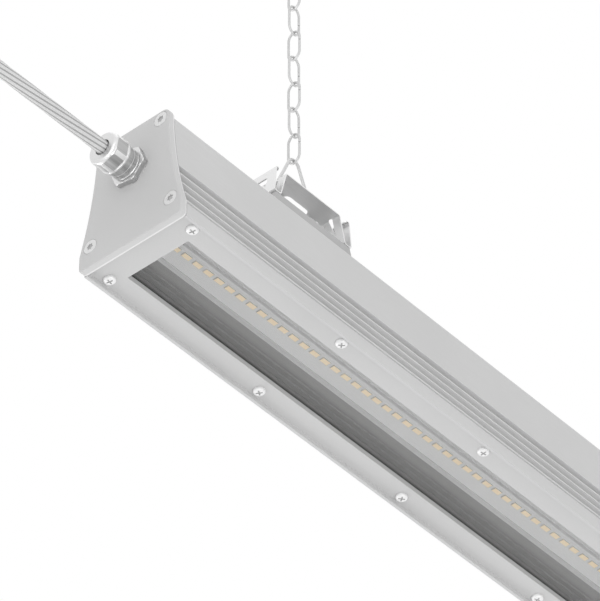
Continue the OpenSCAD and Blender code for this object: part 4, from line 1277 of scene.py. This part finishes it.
    def inwards(self, middle: np.ndarray) -> np.ndarray:
        """How far faces lie inside the outer skin; end faces count as outside it."""
        deep = half_width(middle[:, 2]) - np.abs(middle[:, 1])
        return np.where((middle[:, 0] > 6.0) & (middle[:, 0] < LENGTH - 6.0), deep, np.nan)

    def in_chamber(self, middle: np.ndarray) -> np.ndarray:
        """Which faces bound the light chamber: 6.7 to 40.1 high, 5.6 inside the outer skin."""
        return (self.inwards(middle) > 5.6) & (middle[:, 2] > 6.7) & (middle[:, 2] < 40.1)

    def on_web(self, middle: np.ndarray) -> np.ndarray:
        """Which of the chamber's top faces lie between the rails or outside them."""
        y, high = np.abs(middle[:, 1]), middle[:, 2] >= self.rail_foot
        return self.in_chamber(middle) & high & ((y < 6.0) | (y > 20.0))

    def on_ridges(self, middle: np.ndarray) -> np.ndarray:
        """Which faces lie in the grooved band of the outer skin."""
        low, high = self.band[0], self.band[1] - 0.1
        return (self.inwards(middle) < 5.2) & (middle[:, 2] > low) & (middle[:, 2] < high)

    def cap_outline(self) -> np.ndarray:
        """The cap's outline: the hollow side with a foot corner of 2.5 and a top corner of 4.5.

        Returns:
            The outline (y, z), anticlockwise.
        """
        foot, top = 2.5, 4.5
        z = np.linspace(11.5, 82.5, 22)
        side = np.column_stack([half_width(z), z])
        a = np.radians(np.linspace(-90, 0, 8))
        low = np.column_stack([FOOT - foot + foot * np.cos(a), foot + foot * np.sin(a)])
        b = np.radians(np.linspace(0, 90, 11))[1:]
        mid = side[-1, 0] - top
        high = np.column_stack([mid + top * np.cos(b), z[-1] + top * np.sin(b)])
        return mirror_y(np.vstack([low, side, high]))

    def cap(self, near: bool) -> Shape:
        """An end cap with a soft outer edge, a small chamfer behind and countersinks.

        Args:
            near: whether it is the near one, with the gland's bore.

        Returns:
            The shape, painted 1 on the chamfer, where a highlight is painted, and 2 on the rim,
            painted lighter as painted light.
        """
        sink = [(0.0, 4.95), (0.25, 4.78), (2.4, 2.6), (CAP, 2.6)]
        holes = [((s * y, z), sink) for s in (-1, 1) for y, z in PORTS]
        if near:
            holes.append(((0.0, Gland.height), [(0.0, 8.1), (CAP, 8.1)]))
        a = np.linspace(0, np.pi / 2, 5)[::-1]
        edge, chamfer = 0.9, 0.4
        stations = [(edge * (1 - np.sin(x)), edge * (1 - np.cos(x))) for x in a]
        outer = self.cap_outline()
        shape = prism(outer, stations + [(3.7, 0.0), (CAP, chamfer)], holes, along_x, 48)
        within = offset_loop(outer, chamfer)
        for low, high, paint in ((4.2, 4.7, 1), (0.8, 4.2, 2)):
            shape.painted(
                lambda m: (m[:, 0] > low) & (m[:, 0] < high) & ~inside(m[:, 1:], within), paint)
        return shape if near else shape.at_far_end()

    def cap_screw(self) -> Shape:
        """A countersunk screw with a six-lobed recess, about X with its head face at 0.

        The recess's radius is 1.9 + 0.34 cos(6 a), drawn in rings from the rim to its floor.

        Returns:
            The shape, painted 1 in the recess.
        """
        star = 1.9 + 0.34 * np.cos(6 * round_angles(72))
        profile = [
            (18.0, 1.2), (17.2, 2.0), (2.65, 2.05), (2.35, 2.15), (0.32, 4.55), (0.12, 4.68),
            (0.02, 4.55), (0.0, 4.3), (0.0, star + 0.12), (0.08, star), (0.6, star * 0.93),
            (0.7, star * 0.2)]
        shape = solid_rings(spun(profile))
        return shape.painted(
            lambda m: (np.hypot(m[:, 1], m[:, 2]) < 2.2) & (m[:, 0] > 0.03) & (m[:, 0] < 1.8), 1)

    def screws(self, near: bool) -> Shape:
        """Four cap screws, each turned a little differently.

        Args:
            near: whether they are the near cap's.

        Returns:
            The shape.
        """
        one, out = self.cap_screw(), Shape()
        places = [(s * y, z) for y, z in PORTS for s in (-1, 1)]
        for (y, z), t in zip(places, np.radians(self.turns)):
            turn = np.array([[1, 0, 0], [0, np.cos(t), -np.sin(t)], [0, np.sin(t), np.cos(t)]])
            out.join(one.moved(lambda p: p @ turn.T + [0, y, z]))
        return out if near else out.at_far_end()

    def build(self) -> None:
        """Makes the extrusion, both caps and their screws."""
        skin = [Surface.HOUSING, Surface.INNER_WALL, Surface.RAIL, Surface.WEB, Surface.RIDGE]
        self.piece("housing_profile", self.extrusion(), skin, 28, "anodised", "housing_extrusion")
        for near, word in ((True, "near"), (False, "far")):
            self.piece(
                f"cap_plate_{word}", self.cap(near), [Surface.CAP, Surface.CHAMFER_HIGHLIGHT, Surface.CAP_RIM],
                30, "cap_paint", f"end_cap_{word}")
            self.piece(
                f"lobed_screws_{word}", self.screws(near), [Surface.CAP_SCREW, Surface.RECESS],
                32, "stainless", f"cap_screws_{word}")


@dataclass
class Window(Assembly):
    """The frame plate, its screws, the glass and the boards behind it.

    Attributes:
        margin: from the light's end to the window.
        half: half the window's width.
        plate: heights of the frame plate's faces.
        screws: frame screws in a row.
        screw_first, screw_pitch, screw_side: the first screw's place, the screws' spacing, and
            their distance from the middle.
        packages: light packages in a row.
        package_first, package_pitch, package_side: the same for the packages.
        package_half: half size of a package.
        pane_margin, pane_half: from the light's end to the pane, and half its width.
        layers: start, edges in Y and heights of the right board and of the land on it.
    """

    margin: float = 23.2
    half: float = 22.6
    plate: tuple = (3.2, 6.6)
    screws: int = 10
    screw_first: float = 17.5
    screw_pitch: float = 125.0
    screw_side: float = 31.0
    packages: int = 121
    package_first: float = 32.3
    package_pitch: float = 9.12
    package_side: float = 12.15
    package_half: tuple = (3.2, 1.68)
    pane_margin: float = 12.2
    pane_half: float = 26.9
    layers: tuple = ((20.0, (8.9, 23.5), (38.4, 39.98)), (21.0, (10.5, 13.8), (38.37, 38.4)))

    def frame_plate(self) -> Shape:
        """A flat plate between the lips with the window and clearance holes.

        Returns:
            The shape.
        """
        out = rectangle((CAP, -LIP), (LENGTH - CAP, LIP), 0.3)
        hole = rectangle((self.margin, -self.half), (LENGTH - self.margin, self.half), 0.5)
        bore = [(z, 2.2) for z in self.plate]
        places = self.screw_first + self.screw_pitch * np.arange(self.screws)
        bores = [((x, s * self.screw_side), bore) for x in places for s in (-1, 1)]
        return prism(out, [(z, 0.0) for z in self.plate], [hole] + bores, along_z, 24)

    def pan_screw(self) -> Shape:
        """A pan head screw about Z, head down, with a cross recess.

        The cross's radius at an angle is the larger of its two arms', min(2/|cos|, 0.4/|sin|).

        Returns:
            The shape, painted 1 in the recess.
        """
        ang = round_angles(64)
        c, s = np.abs(np.cos(ang)) + 1e-6, np.abs(np.sin(ang)) + 1e-6
        cross = np.maximum(np.minimum(2.0 / c, 0.4 / s), np.minimum(2.0 / s, 0.4 / c))
        profile = [
            (11.6, 0.8), (11.0, 1.6), (3.25, 1.75), (3.2, 1.9), (3.2, 3.5), (3.0, 3.6),
            (2.2, 3.58), (1.7, 3.3), (1.38, 2.75), (1.24, 2.4), (1.2, cross + 0.1), (1.3, cross),
            (1.8, cross * 0.85), (1.9, cross * 0.2)]
        rings = spun(profile, None, 64)[..., [1, 2, 0]]
        shape = solid_rings(rings[:, ::-1])
        return shape.painted(
            lambda m: (np.hypot(m[:, 0], m[:, 1]) < 2.1) & (m[:, 2] > 1.22) & (m[:, 2] < 3.0), 1)

    def screw_row(self, side: int) -> Shape:
        """A row of pan head screws, each turned by its own angle.

        Args:
            side: -1 for the row at negative Y, 1 for the other.

        Returns:
            The shape.
        """
        one, out = self.pan_screw(), Shape()
        for i in range(self.screws):
            t = np.radians(10 + (37 * i * (2 + side)) % 90)
            turn = np.array([[np.cos(t), -np.sin(t), 0], [np.sin(t), np.cos(t), 0], [0, 0, 1]])
            there = [self.screw_first + self.screw_pitch * i, side * self.screw_side, 0]
            out.join(one.moved(lambda p: p @ turn.T + there))
        return out

    def glass(self) -> Shape:
        """The pane with ground edges.

        Returns:
            The shape.
        """
        start, half = self.pane_margin, self.pane_half
        out = rectangle((start, -half), (LENGTH - start, half), 1.5, 4)
        return prism(out, [(6.65, 0.3), (6.9, 0.0), (9.3, 0.0), (9.55, 0.3)], (), along_z)

    def board(self, side: int) -> Shape:
        """A circuit board with a thin copper land that stands out under the packages.

        Args:
            side: -1 for the board at negative Y, 1 for the other.

        Returns:
            The shape, painted 1 on the land.
        """
        shape = Shape()
        for paint, (start, edges, heights) in enumerate(self.layers):
            low, high = sorted(side * y for y in edges)
            out = rectangle((start, low), (LENGTH - start, high), 0.5)
            shape.join(prism(out, [(z, 0.0) for z in heights], (), along_z), paint)
        return shape

    def package_row(self, side: int) -> Shape:
        """A row of packages: low boxes whose faces are sunk towards a phosphor window.

        Args:
            side: -1 for the row at negative Y, 1 for the other.

        Returns:
            The shape, painted 1 on the phosphor.
        """
        box = np.array([[-1, -1], [1, -1], [1, 1], [-1, 1]]) * self.package_half
        quads = grid_quads(3, 4, wrap_cols=True)[:, ::-1]
        wall = [along_z(box * k, z) for k, z in ((1.0, 38.4), (1.0, 37.75), (0.97, 37.62))]
        rim = [along_z(box * k, z) for k, z in ((0.97, 37.62), (0.95, 37.62), (0.93, 37.7))]
        n = np.arange(self.packages)
        centres = np.column_stack([
            self.package_first + self.package_pitch * n, np.full(len(n), side * self.package_side),
            np.zeros(len(n))])
        out = Shape()
        for rings, faces, paint in (
            (wall, quads, 0), (rim, quads, 0), (rim[-1:], [[3, 2, 1, 0]], 1),
            (wall[:1], [[0, 1, 2, 3]], 0),
        ):
            pts = np.vstack(rings)
            every = centres[:, None] + pts[None]
            out.add(every, (n[:, None, None] * len(pts) + np.array(faces)).reshape(-1, 4), paint)
        return out

    def build(self) -> None:
        """Makes the window's pieces."""
        self.piece(
            "frame_plate", self.frame_plate(), [Surface.FRAME], 40, "frame_paint", "front_frame")
        for side, word in ((-1, "left"), (1, "right")):
            self.piece(
                f"cross_screws_{word}", self.screw_row(side),
                [Surface.FRAME_SCREW, Surface.RECESS], 35, "white_zinc", f"frame_screws_{word}")
            self.piece(
                f"light_board_{word}", self.board(side), [Surface.BOARD, Surface.LAND], 30,
                "board_lacquer", f"led_board_{word}")
            self.piece(
                f"light_packages_{word}", self.package_row(side),
                [Surface.PACKAGE, Surface.PHOSPHOR], 20, "phosphor", f"led_packages_{word}")
        self.piece("clear_pane", self.glass(), [Surface.GLASS], 30, "clear_glass", "front_glass")


@dataclass
class Gland(Assembly):
    """The nickel plated cable gland in the near cap.

    Attributes:
        height: of its middle line.
        sides: points round it.
    """

    height: float = 55.5
    sides: int = 144

    def turned(self, profile: Sequence, limit: Callable) -> Shape:
        """A bored piece spun about the gland's middle line."""
        return hollow_rings(spun(profile, limit, self.sides) + [0, 0, self.height])

    def body(self) -> Shape:
        """Hexagon with chamfered corners, then a neck and a round collar.

        Returns:
            The shape, painted 1 on the collar, with painted reflections, and 2 on the hexagon,
            darkened by painted reflection.
        """
        hexagon = flats(22.5, 100, 0.35)

        def limit(ang: np.ndarray, place: np.ndarray) -> np.ndarray:
            """The hexagon's flats up to 4 mm out from the cap, and nothing beyond."""
            return np.where(place > -4.01, hexagon(ang, place), 99.0)

        profile = [
            (11.0, 7.4), (10.4, 7.95), (0.0, 8.0), (0.0, 11.6), (-0.15, 12.3), (-0.6, 12.99),
            (-3.3, 12.99), (-3.75, 12.2), (-4.0, 11.2), (-4.0, 9.4), (-4.6, 9.2), (-4.75, 9.75),
            (-5.1, 9.8), (-7.6, 9.8), (-7.8, 9.55), (-8.3, 9.55), (-8.5, 9.8), (-11.8, 9.8),
            (-12.0, 9.6), (-12.0, 8.0), (-17.8, 8.0), (-18.0, 7.7), (-18.0, 4.9), (11.0, 4.9)]
        shape = self.turned(profile, limit)
        shape.painted(lambda m: (m[:, 0] > -11.5) & (m[:, 0] < -4.8), 1)
        return shape.painted(lambda m: (m[:, 0] > -3.4) & (m[:, 0] < -0.5), 2)

    def dome(self) -> Shape:
        """Dome nut: a round nose and six flats whose upper edges are cut by the dome.

        Returns:
            The shape, painted 1 on the flats, with painted reflections.
        """
        hexagon = flats(20.4, 70, 0.3)

        def limit(ang: np.ndarray, place: np.ndarray) -> np.ndarray:
            """The flats, which leave the round ring at the nut's foot free."""
            return hexagon(ang, place) + 3 * np.clip((place + 13.4) / 0.6, 0, 1)

        a = np.radians(np.linspace(0, 90, 9))
        nose = [(-24.0 + 2.6 * (1 - np.cos(x)), 8.3 + 2.6 * np.sin(x)) for x in a]
        profile = [(-23.4, 4.9), (-23.85, 5.0), (-24.0, 5.3)] + nose
        profile += [
            (-21.0, 10.9), (-16.0, 10.9), (-13.9, 10.9), (-13.4, 10.9), (-13.0, 10.95),
            (-12.2, 10.9), (-12.0, 10.6), (-12.0, 8.1), (-18.4, 8.1), (-20.0, 4.9)]
        return self.turned(profile, limit).painted(
            lambda m: (m[:, 0] > -21.8) & (m[:, 0] < -13.7)
            & (np.hypot(m[:, 1], m[:, 2] - self.height) < 10.88), 1)

    def build(self) -> None:
        """Makes the gland's two outer pieces."""
        metals = [Surface.NICKEL, Surface.NICKEL_FLAT, Surface.NICKEL_HEX]
        self.piece("gland_hexagon", self.body(), metals, 25, "nickel_brass", "gland_body")
        self.piece("gland_dome", self.dome(), metals[:2], 25, "nickel_brass", "gland_dome_nut")


@dataclass
class Suspension(Assembly):
    """One hanging point: block, clip, hook, chain and ceiling plate.

    Attributes:
        letter: a near the gland, b at the far end.
        x: its place along the light.
        block_side: corners (x, z) of the block's right side, upwards.
        block_half: half the block's width.
        clip_side: corners (x, z) of the clip's right half, from its bridge to its tip.
        clip_half: half the clip's width.
        sheet: thickness of its sheet.
        links: links in the chain.
        pitch: spacing of the links.
        first_link: height of the first link's lower end, inside.
        wire: radius of a link's wire.
        seam: how far the wire dips at a link's weld.
        plate: heights of the ceiling plate's faces.
    """

    letter: str
    x: float
    block_side: tuple = ((34.9, 87.02), (34.3, 98.0), (32.4, 104.5))
    block_half: float = 15.0
    clip_side: tuple = (
        (23.4, 124.1), (28.2, 104.9), (33.6, 104.9), (31.85, 124.7), (29.2, 123.6))
    clip_half: float = 15.0
    sheet: float = 0.8
    links: int = 8
    pitch: float = 21.4
    first_link: float = 158.7
    wire: float = 0.8
    seam: float = 0.26
    plate: tuple = (353.0, CEILING)

    def put(self, shape: Shape) -> Shape:
        """Moves a shape to this hanging point."""
        return shape.moved(lambda p: p + [self.x, 0, 0])

    def block(self) -> Shape:
        """The block's side outline carried across the light with rounded edges.

        Returns:
            The shape.
        """
        right = np.array(self.block_side)
        left = right * [-1, 1]
        corners = np.vstack([left[:1], right, left[:0:-1]])
        out = rounded(corners, [0.9, 0.9, 3.0, 1.1, 1.1, 3.0], 4)
        return self.put(prism(out, eased(-self.block_half, self.block_half, 0.8), (), along_y))

    def clip_path(self) -> tuple:
        """The middle line of the clip's sheet, from the left tip to the right tip.

        Returns:
            Lengths along it, (n,), and its points (x, z), (n, 2).
        """
        right = np.array(self.clip_side)
        line = np.vstack([right[::-1] * [-1, 1], right])
        path = rounded(line, [0, 1.0, 1.1, 1.1, 1.3, 1.3, 1.1, 1.1, 1.3, 0], 7, closed=False)
        rough = way(path)
        s = np.union1d(rough, np.arange(0.2, rough[-1], 0.25))
        return s, np.column_stack([np.interp(s, rough, path[:, i]) for i in (0, 1)])

    def clip_holes(self, s: np.ndarray, path: np.ndarray) -> list:
        """The holes of the clip's flat blank.

        Args:
            s: lengths along the middle line.
            path: its points.

        Returns:
            Outlines (length along the blank, y): the middle slot, and on each side a small slot,
            the leg's window, a pip's hole and two keyhole slits in the bend.
        """

        def where(x: float, z: float) -> float:
            """Length along the line at its point nearest to (x, z)."""
            return float(s[np.argmin((path[:, 0] - x) ** 2 + (path[:, 1] - z) ** 2)])

        mid = s[-1] / 2
        holes = [rectangle((mid - 10, -3.7), (mid + 10, 3.7), 3.2, 5)]
        for m in (-1, 1):
            c = mid + m * 17.4
            holes.append(rectangle((c - 3.1, -1.5), (c + 3.1, 1.5), 0.6, 5))
            leg = [where(m * 32.85, 113.6), where(m * 32.45, 118.0)]
            holes.append(rectangle((min(leg), -8.5), (max(leg), 8.5), 1.2, 5))
            a = round_angles(12)
            pip = where(m * 33.0, 112.2)
            holes.append(np.column_stack([pip + 0.6 * np.cos(a), -7 + 0.6 * np.sin(a)]))
            corner = self.clip_side[0]
            bend, low = where(m * corner[0], corner[1]), where(m * 26.2, 113.0)
            d = 1 if low > bend else -1
            a = np.linspace(0.35 * np.pi, 1.65 * np.pi, 14)
            for w in (-1, 1):
                ring = np.column_stack(
                    [bend + d * (0.3 + 1.5 * np.cos(a)), w * (8.3 - 1.5 * np.sin(a))])
                holes.append(np.vstack([ring, [[low, w * 9.6], [low, w * 9.3]]]))
        return holes

    def clip(self) -> Shape:
        """The sheet clip: a flat blank with holes, meshed flat and bent along its middle line.

        A point (s, y) of the blank goes to line(s) at y; both faces lie half the sheet's
        thickness to either side, and walls close the blank's edges.

        Returns:
            The shape.
        """
        s, path = self.clip_path()
        total, half = s[-1], self.clip_half
        t = unit(np.gradient(path, s, axis=0))
        normals = np.stack([-t[:, 1], t[:, 0]], 1)
        holes = self.clip_holes(s, path)
        outline = rectangle((0, -half), (total, half), 1.5, 5)
        dense = []  # more points along the edges, so that they follow the bends
        for a, b in zip(outline, np.roll(outline, -1, 0)):
            k = max(1, int(np.linalg.norm(b - a) / 0.7))
            dense.append(a + (b - a) * np.linspace(0, 1, k, endpoint=False)[:, None])
        across = np.arange(-14.3, 14.5, 1.6)
        gs, gy = np.meshgrid(np.arange(0.6, total, 0.8), across, indexing="ij")
        extra = np.column_stack([gs.ravel(), gy.ravel()])
        free = np.ones(len(extra), bool)
        for hole in holes:
            free &= ~inside(extra, offset_loop(hole, -0.35))
        pts, tris = fill([np.vstack(dense)] + holes, extra[free])
        x, z = (np.interp(pts[:, 0], s, path[:, i]) for i in (0, 1))
        nx, nz = (np.interp(pts[:, 0], s, normals[:, i]) for i in (0, 1))
        middle = np.column_stack([x, pts[:, 1], z])
        out = np.column_stack([nx, np.zeros(len(x)), nz]) * self.sheet / 2
        count = len(pts)
        edges = np.vstack([tris[:, [0, 1]], tris[:, [1, 2]], tris[:, [2, 0]]])
        _, first, uses = np.unique(
            np.sort(edges, 1), axis=0, return_index=True, return_counts=True)
        rim = edges[first[uses == 1]]
        shape = Shape().add(
            np.vstack([middle + out, middle - out]), np.vstack([tris, tris[:, ::-1] + count]))
        walls = np.column_stack([rim[:, 1], rim[:, 0], rim[:, 0] + count, rim[:, 1] + count])
        shape.faces += walls.tolist()
        shape.paint += [0] * len(walls)
        return self.put(shape)

    def hook(self) -> Shape:
        """The bent wire hook: feet, foot bends, two legs and a round top, upright along the light.

        The legs lean by slant and would meet at top + r (1 / sin slant - 1), above the round top
        of radius r that touches both.

        Returns:
            The shape.
        """
        foot, top, r, reach = 122.5, 160.7, 4.4, 10.5
        slant = 0.3996  # of a leg from upright, in radians
        peak = top + r * (1 / np.sin(slant) - 1)
        knee = (peak - foot) * np.tan(slant)
        line = [(-reach, foot), (-knee, foot), (0, peak), (knee, foot), (reach, foot)]
        path = rounded(line, [0, 1.6, r, 1.6, 0], 14, closed=False)
        return self.put(wire(along_y(path, 0.0), 1.0, (0, 1, 0), 20))

    def link(self, number: int) -> Shape:
        """One link: two tips, four shoulders and two straight sides, with a weld on one side.

        Seen flat, the line is (x, z). A shoulder's arc touches the straight side and the tip's
        arc, whose middle lies sqrt((shoulder - tip)^2 - (shoulder - side)^2) above its own. The
        wire's radius dips by seam * exp(-(d / 0.35)^2), where d is the distance from the weld.
        Odd links lie across the light, even ones along it.

        Args:
            number: the link's place in the chain, from 1 at the hook.

        Returns:
            The shape, painted 1 at the weld.
        """
        span, side, tip, shoulder = 23.2, 4.35, 2.6, 6.0
        rise = np.sqrt((shoulder - tip) ** 2 - (shoulder - side) ** 2)
        turn = np.arctan2(rise, shoulder - side)
        a = np.linspace(0, turn, 7)
        bow = np.array([side - shoulder, span / 2 - tip - rise])
        bow = bow + shoulder * np.column_stack([np.cos(a), np.sin(a)])
        b = np.linspace(turn, np.pi - turn, 13)[1:-1]
        top = np.column_stack([tip * np.cos(b), span / 2 - tip + tip * np.sin(b)])
        dip = 0.3 * np.arange(-2, 3)  # closer points about both welds' heights
        heights = np.r_[-5.9, -4, -2.4, dip - 1.3, 0.5, 1.7, dip + 2.6, 3.6, 4.6]
        leg = np.column_stack([np.full(len(heights), side), heights])
        loop = np.vstack([
            leg, bow, top, bow[::-1] * [-1, 1], leg[::-1] * [-1, 1], bow * [-1, -1],
            (top * [1, -1])[::-1], (bow * [1, -1])[::-1][:-1]])
        loop = loop[np.r_[True, np.linalg.norm(np.diff(loop, axis=0), axis=1) > 1e-4]]
        odd = number % 2 == 1
        flip, weld = (-1, 2.6) if odd else (1, -1.3)
        near = np.exp(-(((loop[:, 1] - weld) / 0.35) ** 2))
        radius = self.wire - self.seam * (np.abs(loop[:, 0] - side * flip) < 0.05) * near
        middle = self.first_link + self.pitch * (number - 1) + span / 2
        line = loop + [0, middle]
        pts = along_x(line, 0.0) if odd else along_y(line, 0.0)
        axis = 1 if odd else 0
        ring = wire(pts, radius, (1, 0, 0) if odd else (0, 1, 0), 14, closed=True)
        ring.painted(
            lambda m: (m[:, axis] * flip > 3.0) & (np.abs(m[:, 2] - middle - weld) < 0.3), 1)
        return self.put(ring)

    def ceiling_plate(self) -> Shape:
        """The ceiling plate with its two screw holes and the hook's bore.

        Returns:
            The shape.
        """
        low, high = self.plate
        sink = [(low, 4.2), (low + 1.4, 2.3), (high, 2.3)]
        holes = [((s * 22.0, 0.0), sink) for s in (-1, 1)]
        holes.append(((0.0, 0.0), [(low, 2.1), (high, 2.1)]))
        stations = [(low, 0.5), (low + 0.15, 0.15), (low + 0.5, 0.0), (high, 0.0)]
        return self.put(prism(rectangle((-30, -12), (30, 12), 6, 8), stations, holes, along_z))

    def ceiling_hook(self) -> Shape:
        """The hook, a wire bent round by 260 degrees under a straight stem, with its hexagon nut.

        The bend is (r cos a, middle + r sin a) from a = 60 to -200 degrees, and the stem's line
        runs into it along its tangent.

        Returns:
            The shape.
        """
        bend, mid = 6.5, 335.5
        a = np.radians(np.linspace(60, -200, 60))
        arc = np.column_stack([bend * np.cos(a), mid + bend * np.sin(a)])
        top = mid + bend / np.sin(np.radians(60))
        lead = rounded([(0.0, 352.2), (0.0, top), arc[0]], [0, 3.5, 0], 8, closed=False)[:-1]
        radius = np.r_[2.0, np.linspace(2.0, 1.7, len(lead) - 1), np.full(len(arc), 1.7)]
        hook = wire(along_x(np.vstack([lead, arc]), 0.0), radius, (1, 0, 0), 20)
        low, high = self.plate[0] - 2.0, self.plate[0]
        profile = [
            (low, 1.8), (low, 4.0), (low + 0.3, 4.45), (high - 0.3, 4.5), (high, 4.2), (high, 1.8)]
        nut = spun(profile, flats(8.4, 0, 0.2))[..., [1, 2, 0]]
        return self.put(hook.join(solid_rings(nut)))

    def build(self) -> None:
        """Makes every piece of this hanging point."""
        k = self.letter
        self.piece(
            f"roof_block_{k}", self.block(), [Surface.BLOCK], 35, "block_plastic",
            f"mount_block_{k}")
        self.piece(
            f"sheet_clip_{k}", self.clip(), [Surface.SPRING], 32, "spring_steel",
            f"bracket_clip_{k}")
        self.piece(
            f"wire_hook_{k}", self.hook(), [Surface.CHAIN], 60, "spring_steel", f"v_hook_{k}",
            f"hook_{k}")
        for i in range(1, self.links + 1):
            body = f"top_link_{k}" if i == self.links else f"chain_{k}"
            self.piece(
                f"link_{k}_{i}", self.link(i), [Surface.CHAIN, Surface.SEAM], 60, "chain_zinc",
                f"chain_{k}_link_{i}", body)
        self.piece(
            f"hook_plate_{k}", self.ceiling_plate(), [Surface.CEILING], 35, "zinc_plate",
            f"ceiling_plate_{k}", "ceiling")
        self.piece(
            f"chain_hook_{k}", self.ceiling_hook(), [Surface.CEILING], 40, "zinc_plate",
            f"ceiling_hook_{k}", "ceiling")


@dataclass
class HiddenGear:
    """The CAD pieces that keep their shape and only get their finish.

    Attributes:
        palette: the finishes' materials.
        finishes: the nodes of each finish.
    """

    palette: Palette
    finishes: dict = field(default_factory=lambda: {
        Surface.STEEL_SCREW: (
            "clip_screws_a", "clip_screws_b", "block_screws_a", "block_screws_b", "gear_screws"),
        Surface.RUBBER: ("end_gasket_near", "end_gasket_far", "glass_gasket", "gland_seal"),
        Surface.NICKEL: ("gland_lock_nut",),
        Surface.DRIVER: ("led_driver",),
        Surface.TERMINAL: ("terminal_block",),
        Surface.CORE: ("mains_cores", "driver_input_wires"),
        Surface.FEED: ("led_feed_wires",),
    })

    def dress(self) -> None:
        """Gives each node its material."""
        for surface, names in self.finishes.items():
            for name in names:
                materials = bpy.data.objects[name].data.materials
                materials.clear()
                materials.append(self.palette[surface])
                LOG.info("%s: %s", name, surface.value.name)


def main() -> None:
    """Builds the camera and the cable, then the studio and every other sub-assembly."""
    logging.basicConfig(level=logging.INFO, format="%(name)s: %(message)s")
    bpy.context.scene.view_settings.view_transform = "Standard"
    palette = Palette()
    studio = Studio()
    studio.camera()
    PowerLead(palette).build()
    studio.world()
    studio.floor()
    studio.light()
    Housing(palette).build()
    Window(palette).build()
    Gland(palette).build()
    for letter, x in (("a", NEAR_HANG), ("b", FAR_HANG)):
        Suspension(palette, letter, x).build()
    HiddenGear(palette).dress()


if __name__ == "__main__":
    main()
